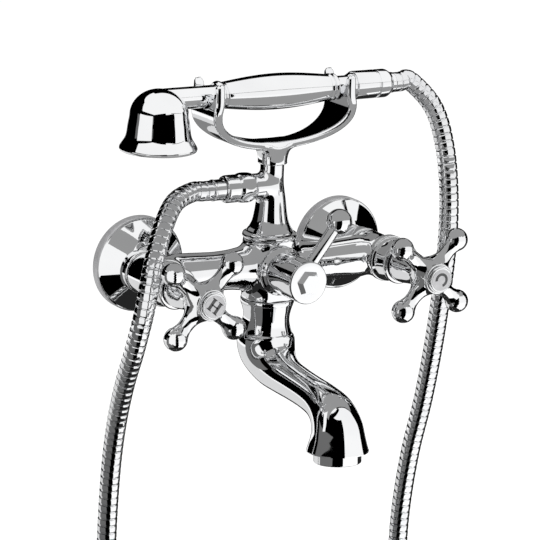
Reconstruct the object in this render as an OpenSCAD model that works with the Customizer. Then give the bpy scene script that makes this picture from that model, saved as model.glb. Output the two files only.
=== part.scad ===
// Wall-mounted bath mixer with a hand shower lying in a cradle.
// +X is right, the wall is the plane Y = 0, the room lies towards -Y, +Z is up.
// The origin is on the wall, midway between the two water inlets.

/* [Layout] */
// Distance between the two wall inlets
inlet_spacing = 150; // [144:1:156]
// Distance between the two valve axes
valve_spacing = 166; // [162:1:172]

/* [Wall fittings] */
// Diameter of a rose
rose_d = 62; // [54:1:76]
// Height of the straight rim of a rose
rose_rim = 6.5; // [3:0.5:8]
// Height of a rose from the wall to its hub
rose_h = 17.5; // [14:0.5:18]
// Sheet thickness of a rose
rose_wall = 1.2; // [0.8:0.1:2]
// Diameter of the thick barrel of an S-union
union_barrel_d = 30; // [28:0.5:34]
// Diameter of the wall thread
wall_thread_d = 20.955; // [16:0.5:22]
// Length of the wall thread
wall_thread_len = 15; // [8:1:30]
// Diameter of a union nut
union_nut_d = 27.2; // [25:0.5:30]
// Length of a union nut
union_nut_len = 7.9; // [6:0.5:9.5]

/* [Body] */
// Diameter of the crossbar at its middle
bar_d = 25; // [22:0.5:28]
// Diameter of a valve housing
housing_d = 26.4; // [26:0.2:30]
// Diameter of the collar at the front of a valve housing
housing_collar_d = 30.6; // [28:0.2:34]
// Diameter of the centre pillar
pillar_d = 33; // [32:0.5:36]
// Height of the column seat above the body axis
pillar_top = 18.5; // [16:0.5:24]
// Depth of the spout seat below the body axis
pillar_bottom = 20.6; // [18:0.5:24]
// Distance from the body axis to the front of the valve housings
housing_depth = 14.5; // [13:0.5:17]
// Diameter of the water way along the crossbar
water_way_d = 11; // [8:0.5:13]

/* [Valves] */
// Diameter of a headwork's body
headwork_d = 18; // [16:0.5:19]
// Diameter of a bonnet
bonnet_d = 26; // [24:0.5:28]
// Length of a bonnet in front of its housing
bonnet_len = 15.5; // [13:0.5:17]
// Diameter of a valve spindle
spindle_d = 8; // [6:0.5:9]
// Teeth on a spindle's spline
spline_teeth = 20; // [12:1:24]

/* [Cross handles] */
// Distance from a handle's rear edge to the plane of its arms
skirt_len = 30.5; // [29:0.5:34]
// Distance from a handle's axis to the centre of an arm's round end
arm_reach = 29; // [26:0.5:32]
// Diameter of the round end of an arm
arm_end_d = 15; // [12:0.5:16]
// Diameter of an arm at its waist
arm_waist_d = 9.4; // [7:0.2:11]
// Diameter of a handle's skirt
skirt_d = 22.6; // [21:0.2:25]
// Diameter of the front rim of a handle
hub_rim_d = 20; // [19:0.2:23]
// Diameter of an indicator button
button_d = 16.4; // [14:0.2:17]
// Turn of the arms from level
arm_turn = 4; // [0:1:45]

/* [Diverter] */
// Length of the diverter drum
drum_len = 29; // [27:0.5:33]
// Diameter of the diverter drum
drum_d = 28.8; // [26:0.2:31]
// Width of the hexagonal recess across its corners
recess_corners = 17; // [12:0.5:19]
// Depth of the hexagonal recess
recess_depth = 2.6; // [1.5:0.1:4]
// Distance of the lever's axis behind the drum's face
lever_back = 10.5; // [8:0.5:12]
// Angle of the lever above level
lever_angle = 52; // [40:1:60]
// Distance from the diverter's axis to the centre of the lever's ball
lever_reach = 44.5; // [38:0.5:48]
// Diameter of the lever's rod
lever_rod_d = 8.3; // [6:0.1:9]
// Diameter of the lever's ball
lever_ball_d = 16.6; // [13:0.2:18]

/* [Column] */
// Diameter of the column's foot flange
foot_d = 35.6; // [34:0.2:38]
// Diameter of the column's neck
neck_d = 15.4; // [14.6:0.2:17]
// Height of the hose branch above the body axis
branch_z = 53; // [51:0.5:54]
// Diameter of the hose branch
branch_d = 16.5; // [15:0.5:17]
// Distance from the column's axis to the shoulder for the hose nut
branch_len = 15; // [14:0.5:18]
// Width of the hose nut across its corners
hose_nut_corners = 20.5; // [20:0.5:23]
// Length of the hose nut
hose_nut_len = 21; // [19:0.5:24]

/* [Cradle and hand shower] */
// Height of the lower edge of the cradle's collar
cradle_z = 67.3; // [66:0.5:70]
// Diameter of the cradle's collar
cradle_collar_d = 19; // [18:0.2:22]
// Height of the hand shower's axis
shower_z = 113.7; // [112:0.1:116]
// Distance from the column to the middle of a lug
lug_x = 48.2; // [48:0.1:48.5]
// Distance between the inner faces of a fork's two lugs
fork_gap = 22; // [20:0.5:24]
// Diameter of the hand shower's neck
shower_neck_d = 14; // [12:0.5:15]
// Diameter of the grip at its middle
grip_d = 23; // [20:0.5:25]
// Diameter of the grip at its ends
grip_end_d = 17; // [15:0.5:18]
// Length of the collar at each end of the grip
collar_len = 6.45; // [6:0.05:8]
// Length of the smooth nut at the hand shower's end
handset_nut_len = 28; // [25:0.5:31]
// Distance from the column to the axis of the bell
bell_x = 83.4; // [82:0.2:88]
// Diameter of the bell's rim
bell_d = 49; // [46:0.5:52]
// Thickness of the bell's wall
bell_wall = 1.6; // [1.2:0.1:2]
// Height of the bell's side, from its rim to its dome
bell_side = 22; // [20:0.5:24]
// Height of the bell's dome
bell_dome = 16.7; // [14:0.1:18]

/* [Hose] */
// Outer diameter of the hose over its ribs
hose_d = 12.8; // [12:0.1:13]
// Diameter of the hose's bore
hose_bore = 8; // [6:0.5:9]
// Number of ribs along the hose
hose_ribs = 200; // [100:10:200]

/* [Spout] */
// Diameter of the spout's flange
spout_flange_d = 34.8; // [34:0.2:36]
// Wall thickness of the spout
spout_wall = 2.6; // [2:0.1:3]
// Diameter of the aerator's housing
aerator_d = 30; // [28:0.2:31]
// How far the aerator shows below the spout
aerator_show = 7.5; // [5:0.5:9]

/* [Hidden] */
$fn = 48;

seam_turn = 45;    // keeps the seam of one round off the seam of the next
slip = 0.1;        // clearance of pieces that slide together
running = 0.05;    // radial clearance of a turning shaft
gap = 0.3;         // free gap between curved faces
chrome = [0.82, 0.83, 0.85];
brass = [0.80, 0.66, 0.32];
black = [0.12, 0.12, 0.13];
white = [0.94, 0.94, 0.94];

// Places along the way from the wall to the room
union_front = rose_h + 1;
nut_front = union_front + union_nut_len;
housing_rear = nut_front + 1.4;
bar_swell = 1.3;    // how far the bar widens beside its housings
body_reach = nut_front + gap + bar_d / 2 + bar_swell;
housing_front = body_reach + housing_depth;
headwork_rear = body_reach - 6;
bonnet_front = housing_front + bonnet_len;
stem_front = bonnet_front + 1.2;
skirt_rear = bonnet_front + 1.5;
arm_plane = skirt_rear + skirt_len;
hub_front = arm_plane + 12.5;
spline_front = arm_plane + 1;
screw_seat = arm_plane + 2.5;
button_seat = arm_plane + 6.5;
diverter_seat = body_reach + housing_depth;
drum_rear = diverter_seat + 6;
collar_front = drum_rear - 0.4;
drum_face = drum_rear + drum_len;
lever_plane = drum_face - lever_back;

valve_x = valve_spacing / 2;
inlet_x = inlet_spacing / 2;
spigot_z = cradle_z + 7;
cup_r = fork_gap / 2;
neck_bottom = shower_z - shower_neck_d / 2;
saddle_z = neck_bottom - gap + cup_r;
lug_w = 6.5;
lug_top = shower_z + 9;
bow_z = cradle_z + 12.3;
spigot_r = 6.9;
collar_end = lug_x - lug_w / 2 - 0.5;
grip_half = collar_end - collar_len;
nut_x0 = lug_x + 9;
nut_x1 = nut_x0 + handset_nut_len;
tail_r = 7.2;
ferrule_bore_r = 4.1;
hose_x1 = nut_x1 + 3;
hose_nut_x1 = branch_len + hose_nut_len;
hose_x0 = hose_nut_x1 + 8.5;
column_plug_r = 8;
spout_plug_r = 9;
bushing_r = 7.5;
stem_guide_r = 7;
gland_r = 9.2;
spout_z0 = -pillar_bottom - 0.3;
outlet_y = -91.3;    // from the body axis
outlet_z = -97.5;
outlet_tilt = 4;

// An arc of points from angle a0 to a1 round the centre c
function arc(c, r, a0, a1, steps = 6) =
    [for (i = [0 : steps]) let (a = a0 + (a1 - a0) * i / steps) c + r * [cos(a), sin(a)]];

// A smooth curve through the points p, with k steps between neighbours
function blend4(a, b, c, d, t) =
    0.5 * (2 * b + (c - a) * t + (2 * a - 5 * b + 4 * c - d) * t * t
        + (3 * b - a - 3 * c + d) * t * t * t);
function curve(p, k) = let (n = len(p)) concat(
    [for (i = [0 : n - 2], j = [0 : k - 1])
        blend4(p[max(i - 1, 0)], p[i], p[i + 1], p[min(i + 2, n - 1)], j / k)],
    [p[n - 1]]);

function unit(v) = v / norm(v);
function along(p, i) = unit(p[min(i + 1, len(p) - 1)] - p[max(i - 1, 0)]);

// A side direction carried along the path, so that the rings don't twist
function carry(p, side, i = 0) = i == len(p) ? [] :
    let (t = along(p, i), s = unit(side - (side * t) * t)) concat([s], carry(p, s, i + 1));

// Rings of points round the path p, the first and last square to the ends given
function rings(p, radii, sides, side) =
    let (s = carry(p, side))
    [for (i = [0 : len(p) - 1], k = [0 : sides - 1])
        let (t = along(p, i), b = cross(t, s[i]), a = 360 * k / sides)
        p[i] + radii[i] * (cos(a) * s[i] + sin(a) * b)];

// Triangles between neighbouring rings, turned outwards or inwards
function skin(n, sides, base, outward) =
    [for (i = [0 : n - 2], k = [0 : sides - 1])
        let (a = base + i * sides + k, b = base + i * sides + (k + 1) % sides, c = a + sides,
            d = b + sides)
        each outward ? [[a, c, b], [b, c, d]] : [[a, b, c], [b, d, c]]];

// A flat ring of triangles that closes the tube's wall at one end
function wall_end(outer, inner, sides, first) =
    [for (k = [0 : sides - 1])
        let (m = (k + 1) % sides)
        each first ? [[outer + k, outer + m, inner + k], [outer + m, inner + m, inner + k]]
            : [[outer + k, inner + k, outer + m], [outer + m, inner + k, inner + m]]];

// A tube with its bore along a path: the outer and the inner wall share one path
module tube(p_out, r_out, p_in, r_in, sides, side) {
    outer = rings(p_out, r_out, sides, side);
    inner = rings(p_in, r_in, sides, side);
    base = len(outer);
    last_out = (len(p_out) - 1) * sides;
    last_in = base + (len(p_in) - 1) * sides;
    polyhedron(
        points = concat(outer, inner),
        faces = concat(
            skin(len(p_out), sides, 0, true),
            skin(len(p_in), sides, base, false),
            wall_end(0, base, sides, true),
            wall_end(last_out, last_in, sides, false)));
}

// Places children on an axis square to the wall: their height is the distance from the wall
module room_axis(x = 0, z = 0) {
    translate([x, 0, z]) rotate([90, 0, 0]) children();
}

// Places children on an axis along +X at the body's distance from the wall
module cross_axis(z = 0) {
    translate([0, -body_reach, z]) rotate([90, 0, 90]) children();
}

// Turns an outline of [radius, height] points round the height axis
module turned(outline) {
    rotate_extrude($fn = 64) polygon(outline);
}

// A plain ring
module ring(r_out, r_in, z0, z1) {
    difference() {
        translate([0, 0, z0]) cylinder(r = r_out, h = z1 - z0);
        translate([0, 0, z0 - 1]) cylinder(r = r_in, h = z1 - z0 + 2);
    }
}

// One rose: a rim band and a shallow cone, spun from sheet
module rose(side) {
    r = rose_d / 2;
    hub = union_barrel_d / 2 + gap;
    color(chrome) room_axis(side * inlet_x) turned(concat(
        [[r, 0]],
        arc([r - 1.4, rose_rim - 1.4], 1.4, 0, 62),
        arc([hub + 1.2, rose_h - 0.9], 0.9, 62, 130, 4),
        [[hub, rose_h - 0.5], [hub, rose_h - rose_wall - 1.2],
            [r - rose_wall - 1, rose_rim - rose_wall - 0.4], [r - rose_wall, rose_rim - 2.4],
            [r - rose_wall, 0]]));
}

// One S-union: wall thread, thick barrel and an offset spigot for the nut
module s_union(side) {
    barrel = union_barrel_d / 2;
    thread_r = wall_thread_d / 2;
    spigot = union_nut_d / 2 - 3;
    color(chrome) difference() {
        union() {
            room_axis(side * inlet_x) turned(concat(
                [[0, -wall_thread_len], [thread_r - 1, -wall_thread_len],
                    [thread_r, 1 - wall_thread_len], [thread_r, 0], [thread_r - 1, 1],
                    [thread_r - 1, 3], [barrel - 1, 3], [barrel, 4]],
                arc([barrel - 1, union_front - 1], 1, 0, 90, 4),
                [[0, union_front]]));
            room_axis(side * valve_x) translate([0, 0, union_front - 0.5]) cylinder(r = spigot, h = 5.5);
        }
        room_axis(side * inlet_x) translate([0, 0, -wall_thread_len - 1])
            cylinder(d = water_way_d, h = wall_thread_len + union_front - 3);
        room_axis(side * valve_x) translate([0, 0, union_front - 8])
            cylinder(d = water_way_d, h = 20);
    }
}

// One union nut with a soft front and rear edge
module union_nut(side) {
    r = union_nut_d / 2;
    bore = r - 3 + slip;
    color(chrome) room_axis(side * valve_x) turned(concat(
        [[bore, union_front], [r - 1.2, union_front]],
        arc([r - 1.2, union_front + 1.2], 1.2, -90, 0, 4),
        arc([r - 1.2, nut_front - 1.2], 1.2, 0, 90, 4),
        [[r - 5.4, nut_front], [r - 5.4, nut_front - 2.2], [bore, nut_front - 2.2]]));
}

// Flat washers between the spigots and the nuts' inner shoulders
module union_washers() {
    r = union_nut_d / 2;
    color(black) for (side = [-1, 1])
        room_axis(side * valve_x) ring(r - 3.2, water_way_d / 2, union_front + 5, nut_front - 2.2);
}

// The body of revolution round the crossbar's own axis, right half
function bar_outline() = let (r = bar_d / 2, p = pillar_d / 2) concat(
    [[0, -valve_x], [r - 3, -valve_x]],
    [[r - 1, 5 - valve_x], [r + 0.8, 12 - valve_x],
        [r + bar_swell, 16 - valve_x], [r + bar_swell, 19 - valve_x],
        [r + 0.9, 26 - valve_x], [r + 0.4, 34 - valve_x], [r, 42 - valve_x]],
    [[r, -36], [r + 0.5, -27], [r + 1.6, -20], [p - 1, -13], [p - 0.4, -8], [0, -8]]);

module mixer_body() {
    bar_r = bar_d / 2;
    pillar_r = pillar_d / 2;
    house_r = housing_d / 2;
    collar_r = housing_collar_d / 2;
    inlet_seat = union_nut_d / 2 - 5.4 - slip;
    color(chrome) difference() {
        union() {
            for (turn = [0, 1]) mirror([turn, 0, 0]) cross_axis() turned(bar_outline());
            for (side = [-1, 1]) room_axis(side * valve_x) turned(concat(
                [[0, nut_front - 2], [inlet_seat, nut_front - 2], [inlet_seat, housing_rear],
                    [house_r - 1, housing_rear]],
                arc([house_r - 1, housing_rear + 1], 1, -90, 0, 4),
                arc([house_r + 6, housing_front - 6], 6, 180, 145, 4),
                [[collar_r - 0.6, housing_front - 5], [collar_r, housing_front - 4.4],
                    [collar_r, housing_front - 0.6], [collar_r - 0.6, housing_front],
                    [0, housing_front]]));
            translate([0, -body_reach, 0]) rotate([0, 0, seam_turn]) turned(concat(
                [[0, -pillar_bottom], [pillar_r + 0.6, -pillar_bottom],
                    [pillar_r + 0.8, 1 - pillar_bottom], [pillar_r, 5 - pillar_bottom]],
                [[pillar_r - 0.5, 0], [pillar_r, pillar_top - 4], [pillar_r + 0.7, pillar_top - 0.8],
                    [pillar_r, pillar_top], [0, pillar_top]]));
            room_axis() rotate([0, 0, seam_turn / 3]) turned(concat(
                [[0, body_reach], [pillar_r - 1.3, body_reach]],
                [[pillar_r - 1.6, diverter_seat - 2], [pillar_r - 2.2, diverter_seat],
                    [0, diverter_seat]]));
        }
        for (side = [-1, 1]) room_axis(side * valve_x) {
            translate([0, 0, headwork_rear]) cylinder(d = headwork_d + 2 * slip, h = 30);
            translate([0, 0, nut_front - 3]) cylinder(d = water_way_d, h = headwork_rear - nut_front + 4);
        }
        cross_axis() translate([0, 0, -valve_x + 4])
            cylinder(d = water_way_d - 1, h = 2 * valve_x - 8);
        room_axis() rotate([0, 0, seam_turn * 0.7]) translate([0, 0, body_reach - 4])
            cylinder(r = bushing_r + slip, h = 30);
        room_axis() rotate([0, 0, seam_turn * 2]) translate([0, 0, diverter_seat])
            cylinder(r = drum_d / 2 + 2.5 + slip, h = 20);
        translate([0, -body_reach, pillar_top - 9.6]) cylinder(r = column_plug_r + slip, h = 20);
        translate([0, -body_reach, -pillar_bottom - 1]) cylinder(r = spout_plug_r + slip, h = 12);
        translate([0, -body_reach, -pillar_bottom + 10])
            cylinder(d = water_way_d, h = pillar_bottom - 0.5);
    }
}

// A ceramic headwork: threaded body, shoulder and stem guide, bored for its spindle
module headwork(side) {
    r = headwork_d / 2;
    color(brass) room_axis(side * valve_x) difference() {
        turned([[0, headwork_rear], [r - 1, headwork_rear], [r, headwork_rear + 1],
            [r, housing_front], [r + 1.6, housing_front], [r + 1.6, housing_front + 3],
            [stem_guide_r, housing_front + 3], [stem_guide_r, stem_front], [0, stem_front]]);
        translate([0, 0, headwork_rear + 6]) cylinder(r = spindle_d / 2 + running, h = 60);
        for (turn = [0, 180]) rotate([0, 0, turn]) translate([r / 2, 0, headwork_rear - 1])
            cylinder(r = 2.4, h = 5);
    }
}

// The chromed bonnet over a headwork, with a bead at its front
module bonnet(side) {
    r = bonnet_d / 2;
    color(chrome) room_axis(side * valve_x) turned(concat(
        [[headwork_d / 2 + 2, housing_front], [r + 1, housing_front]],
        arc([r + 0.6, housing_front + 1], 1, -60, 60, 4),
        [[r, housing_front + 2.6], [r - 0.5, bonnet_front - 3.4]],
        arc([r - 0.4, bonnet_front - 1.6], 1.1, -70, 90, 6),
        [[stem_guide_r + gap, bonnet_front - 0.5], [stem_guide_r + gap, bonnet_front - 2.5],
            [headwork_d / 2 + 2, bonnet_front - 4]]));
}

// The dark sealing rings on the stem guides, behind the handles
module gland_rings() {
    color(black) for (side = [-1, 1])
        room_axis(side * valve_x)
            ring(gland_r, stem_guide_r + slip, bonnet_front - 0.5, bonnet_front + 1.1);
}

// A toothed round outline for the end of a spindle
module spline_outline(r) {
    polygon([for (i = [0 : 2 * spline_teeth - 1])
        (r - 0.6 * (i % 2)) * [cos(180 * i / spline_teeth), sin(180 * i / spline_teeth)]]);
}

module spindle(side) {
    r = spindle_d / 2;
    color(brass) room_axis(side * valve_x) difference() {
        union() {
            translate([0, 0, headwork_rear + 6.4])
                cylinder(r = r, h = arm_plane - 14 - headwork_rear);
            translate([0, 0, arm_plane - 8]) linear_extrude(spline_front - arm_plane + 8)
                spline_outline(r - slip);
        }
        translate([0, 0, arm_plane - 8]) cylinder(r = 1.7, h = 20);
    }
}

// The turned outline of one arm, from the hub out over its round end
function arm_outline() =
    let (b = arm_end_d / 2, w = arm_waist_d / 2, s = asin((w + 0.4) / b)) concat(
        [[0, 8.6], [w + 3.4, 8.6], [w + 2.2, 10.4], [w + 0.8, 13.4], [w, 17],
            [w + 0.1, arm_reach - 9.5]],
        arc([0, arm_reach], b, s - 90, 90, 10));

module cross_handle(side) {
    rim = hub_rim_d / 2;
    skirt = skirt_d / 2;
    color(chrome) room_axis(side * valve_x) difference() {
        union() {
            turned(concat(
                [[0, skirt_rear], [skirt - 0.4, skirt_rear], [skirt, skirt_rear + 0.4],
                    [skirt, skirt_rear + 4], [skirt - 1.2, arm_plane - 18],
                    [skirt - 1.4, arm_plane - 13]],
                [[skirt - 0.6, arm_plane - 9], [skirt + 0.6, arm_plane - 5], [skirt + 1, arm_plane],
                    [skirt + 0.2, arm_plane + 5], [rim - 0.4, arm_plane + 8], [rim - 0.4, arm_plane + 9],
                    [rim, arm_plane + 9.6]],
                arc([rim - 0.7, hub_front - 0.7], 0.7, 0, 90, 3),
                [[0, hub_front]]));
            for (i = [0 : 3]) translate([0, 0, arm_plane])
                rotate([0, 0, arm_turn + 45 + 90 * i]) rotate([0, 90, 0]) turned(arm_outline());
        }
        translate([0, 0, skirt_rear - 1]) cylinder(r = gland_r + gap, h = 5);
        translate([0, 0, skirt_rear - 1])
            cylinder(r = spindle_d / 2 + slip, h = spline_front - skirt_rear + 1.1);
        translate([0, 0, spline_front - 1]) cylinder(r = 2.1, h = 10);
        translate([0, 0, screw_seat]) cylinder(r = 4.6 + slip, h = 10);
        translate([0, 0, button_seat]) cylinder(r = button_d / 2 + slip, h = 20);
    }
}

// The screw that holds a handle on its spindle
module handle_screw(side) {
    color(brass) room_axis(side * valve_x) difference() {
        turned([[0, arm_plane - 6], [1.6, arm_plane - 6], [1.6, screw_seat], [4.6, screw_seat],
            [4.6, screw_seat + 2], [3.6, screw_seat + 3], [0, screw_seat + 3]]);
        translate([-3, -0.5, screw_seat + 1.6]) cube([6, 1, 3]);
    }
}

// The round button that closes the front of a handle, with a shallow ring groove
module button(side) {
    r = button_d / 2;
    color(chrome) room_axis(side * valve_x) turned(concat(
        [[0, button_seat], [r, button_seat]],
        arc([r - 0.6, hub_front + 0.4], 0.6, 0, 90, 3),
        [[r - 1.2, hub_front + 1], [r - 1.5, hub_front + 0.6], [r - 1.8, hub_front + 0.6],
            [r - 2.1, hub_front + 1], [0, hub_front + 1.2]]));
}

// The bushing in the body's front boss, with the collar that shows behind the drum
module diverter_bushing() {
    collar = drum_d / 2 + 1.6;
    color(chrome) room_axis() difference() {
        turned(concat([[0, body_reach - 3.6], [bushing_r, body_reach - 3.6],
            [bushing_r, diverter_seat], [collar - 0.8, diverter_seat]],
            arc([collar - 1.2, diverter_seat + 1.6], 1.5, -50, 70, 5),
            [[drum_d / 2 - 1, collar_front - 1], [8, collar_front], [0, collar_front]]));
        translate([0, 0, body_reach - 10]) cylinder(r = spindle_d / 2 + running, h = 40);
    }
}

// The turning spindle with its valve plug, keyed into the drum
module diverter_spindle() {
    r = spindle_d / 2;
    color(brass) room_axis() {
        translate([0, 0, body_reach - 3]) cylinder(r = r, h = drum_rear + 5 - body_reach + 3);
        translate([0, 0, drum_rear + 4]) linear_extrude(lever_plane - drum_rear - 11)
            square(r * 1.3, center = true);
    }
}

module diverter_drum() {
    r = drum_d / 2;
    key = spindle_d * 0.65 + 2 * slip;
    color(chrome) room_axis() difference() {
        turned(concat([[0, drum_rear], [r - 1.2, drum_rear], [r - 0.6, drum_rear + 0.6]],
            [[r - 0.6, drum_face - 3]],
            arc([r - 1.2, drum_face - 1.2], 1.2, 0, 90, 5), [[0, drum_face]]));
        translate([0, 0, drum_rear - 1]) cylinder(r = spindle_d / 2 + slip, h = 6.2);
        translate([0, 0, drum_rear]) linear_extrude(lever_plane - drum_rear - 6.8)
            square(key, center = true);
        difference() {
            translate([0, 0, drum_face - recess_depth]) rotate([0, 0, 8])
                cylinder(d = recess_corners, h = 10, $fn = 6);
            translate([0, 0, drum_face - recess_depth - 40]) sphere(r = 41);
        }
        rotate([0, 0, lever_angle]) translate([8, 0, lever_plane]) rotate([0, 90, 0])
            cylinder(r = 3 + slip, h = 20);
        rotate([0, 0, lever_angle]) translate([r - 1.6, 0, lever_plane]) rotate([0, 90, 0])
            cylinder(d = lever_rod_d + 2 * slip, h = 20);
    }
}

// The lever's straight rod, screwed into the drum and into the ball
module lever_rod() {
    rod = lever_rod_d / 2;
    start = drum_d / 2 - 1.6;
    ball_face = lever_reach - sqrt(pow(lever_ball_d / 2, 2) - rod * rod);
    color(chrome) room_axis() rotate([0, 0, lever_angle]) translate([0, 0, lever_plane])
        rotate([0, 90, 0]) turned([[0, 8.2], [3, 8.2], [3, start], [rod, start],
            [rod, ball_face], [2.4, ball_face], [2.4, lever_reach], [0, lever_reach]]);
}

module lever_ball() {
    ball_face = lever_reach - sqrt(pow(lever_ball_d / 2, 2) - pow(lever_rod_d / 2, 2));
    color(chrome) room_axis() rotate([0, 0, lever_angle]) translate([0, 0, lever_plane])
        rotate([0, 90, 0]) difference() {
            translate([0, 0, lever_reach]) sphere(d = lever_ball_d);
            translate([0, 0, lever_reach - 12]) cylinder(r = 2.4 + slip, h = 12.4);
            translate([0, 0, ball_face - 10]) cylinder(d = lever_ball_d, h = 10);
        }
}

// The flared riser with its foot, its hose branch and the spigot for the cradle
module riser_column() {
    foot = foot_d / 2;
    neck = neck_d / 2;
    base = pillar_top;
    color(chrome) translate([0, -body_reach, 0]) difference() {
        union() {
            turned(concat(
                [[0, base - 9], [column_plug_r, base - 9], [column_plug_r, base], [foot - 1.6, base]],
                arc([foot - 1.6, base + 2], 2, -70, 80, 6),
                [[neck + 7.6, base + 5.2], [neck + 5.6, base + 7.6], [neck + 4, base + 11.6],
                    [neck + 2.8, base + 18], [neck + 1.9, base + 25], [neck + 1.1, base + 30]],
                [[neck, base + 38], [neck, cradle_z], [spigot_r, cradle_z], [spigot_r, spigot_z],
                    [0, spigot_z]]));
            translate([0, 0, branch_z]) rotate([0, -90, 0]) turned([[0, 0], [branch_d / 2, 0],
                [branch_d / 2, branch_len - 0.6], [branch_d / 2 - 0.6, branch_len],
                [tail_r, branch_len], [tail_r, branch_len + 12], [0, branch_len + 12]]);
        }
        translate([0, 0, base - 12]) cylinder(r = 5, h = branch_z - base + 12);
        translate([0, 0, branch_z]) rotate([0, -90, 0]) cylinder(r = 4.5, h = 60);
        translate([0, 0, base - 6]) difference() {
            cylinder(r = 9, h = 2);
            translate([0, 0, -1]) cylinder(r = 6.8, h = 4);
        }
    }
}

module column_seal() {
    color(black) translate([0, -body_reach, 0])
        ring(column_plug_r + slip, 6.8, pillar_top - 5.9, pillar_top - 4.1);
}

// The hexagonal nut of the hose, with chamfered corners
module hose_nut() {
    r = hose_nut_corners / 2;
    x0 = branch_len;
    x1 = hose_nut_x1;
    color(chrome) translate([0, -body_reach, branch_z]) rotate([0, -90, 0]) difference() {
        intersection() {
            translate([0, 0, x0]) cylinder(r = r, h = x1 - x0, $fn = 6);
            turned([[0, x0], [r - 1.4, x0], [r, x0 + 1.2], [r, x1 - 1.2], [r - 1.4, x1],
                [0, x1]]);
        }
        translate([0, 0, x0 - 1]) cylinder(r = tail_r + slip, h = x1 - x0 - 5);
        translate([0, 0, x0]) cylinder(r = 5.2, h = 40);
    }
}

module branch_ferrule() {
    r = hose_d / 2 + 0.3;
    color(chrome) translate([0, -body_reach, branch_z]) rotate([0, -90, 0]) turned(concat(
        [[ferrule_bore_r, hose_nut_x1], [r, hose_nut_x1]],
        arc([r - 0.6, hose_x0 - 0.6], 0.6, 0, 90, 3),
        [[ferrule_bore_r, hose_x0]]));
}

// The flat washers in the hose's two nuts
module branch_washer() {
    color(black) translate([0, -body_reach, branch_z]) rotate([0, -90, 0])
        ring(7, 4.5, branch_len + 12, hose_nut_x1 - 6);
}

module tail_washer() {
    color(black) cross_axis(shower_z) ring(7, 4, nut_x0 + 12, nut_x0 + 14);
}

// The hose's way, chosen by hand: out of the branch, down the left, round and up the right
hose_route = [
    [-hose_x0, -body_reach, branch_z], [-hose_x0 - 6, -body_reach, branch_z],
    [-hose_x0 - 14, -body_reach, branch_z],
    [-75, -48, 49], [-89, -59, 36], [-100, -68, 15], [-107, -72, -10], [-109, -64, -38],
    [-108, -50, -65], [-106, -37, -95], [-105, -29, -130], [-105, -26, -180], [-104, -26, -245],
    [-100, -26, -308], [-88, -26, -366], [-64, -26, -411], [-30, -26, -438], [8, -26, -447],
    [46, -26, -438], [80, -26, -411], [104, -26, -366], [116, -26, -308], [120, -26, -245],
    [120, -28, -190], [122, -33, -145], [125, -41, -105], [125, -50, -65], [124, -57, -30],
    [124, -61, 5], [125, -59, 38], [124, -53, 70], [118, -46, 96],
    [hose_x1 + 14, -body_reach, shower_z],
    [hose_x1 + 6, -body_reach, shower_z], [hose_x1, -body_reach, shower_z]
];

// The places of a path of points, as distances along it, and a point at a distance
function lengths(p, i = 0, s = 0) = i == len(p) - 1 ? [s] :
    concat([s], lengths(p, i + 1, s + norm(p[i + 1] - p[i])));
function place(p, s, d, i) = i >= len(p) - 2 || s[i + 1] >= d
    ? p[i] + (p[i + 1] - p[i]) * (d - s[i]) / (s[i + 1] - s[i]) : place(p, s, d, i + 1);

module shower_hose() {
    fine = curve(hose_route, 8);
    s = lengths(fine);
    total = s[len(s) - 1];
    pitch = total / hose_ribs;
    crest = hose_d / 2;
    root = crest - 0.9;
    start = [for (i = [0 : 2 * hose_ribs])
        max(0, floor(i / (2 * hose_ribs) * (len(fine) - 1)) - 24)];
    stops = [for (i = [0 : 2 * hose_ribs])
        place(fine, s, min(i * pitch / 2, total - 0.001), start[i])];
    radii = [for (i = [0 : 2 * hose_ribs]) i % 2 == 0 ? crest : root];
    inner_count = 90;
    inner = [stops[0], stops[1],
        for (i = [1 : inner_count - 1]) stops[floor(2 * hose_ribs * i / inner_count)],
        stops[2 * hose_ribs - 1], stops[2 * hose_ribs]];
    echo(hose_length = total, rib_pitch = pitch);
    color(chrome) tube(stops, radii, inner, [for (p = inner) hose_bore / 2], 8, [0, 1, 0]);
}

module handset_ferrule() {
    r = hose_d / 2 + 0.3;
    color(chrome) cross_axis(shower_z) turned([[ferrule_bore_r, nut_x1], [r, nut_x1],
        [r, hose_x1 - 0.5], [r - 0.5, hose_x1], [ferrule_bore_r, hose_x1]]);
}

// The smooth nut at the hand shower's end, with a groove near its outer edge
module handset_nut() {
    r = 9.25;
    groove = nut_x0 + 17;
    color(chrome) cross_axis(shower_z) turned([
        [tail_r + slip, nut_x0], [r - 0.6, nut_x0], [r, nut_x0 + 0.6], [r, groove - 0.8],
        [r - 0.9, groove - 0.4], [r - 0.9, groove + 0.4], [r, groove + 0.8], [r, nut_x1 - 4],
        [r - 0.5, nut_x1 - 2.4], [hose_d / 2 + 0.6, nut_x1], [4.4, nut_x1], [4.4, nut_x0 + 14],
        [tail_r + slip, nut_x0 + 14]]);
}

// One side of the cradle's band, from its middle out and up: as shares of lug_x and of the rise
// from the bow's middle to the hand shower's axis, then half the width and half the thickness
band_side = [
    [0, 0, 7, 2.8], [0.27, 0.024, 7.4, 2.6], [0.539, 0.1, 9.2, 2.5], [0.757, 0.217, 11.6, 2.6],
    [0.913, 0.364, 14, 2.7], [1, 0.525, 15.6, 2.9], [1.025, 0.716, 16.4, 3.1], [1, 0.912, 16.4, 3.2]
];

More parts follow.
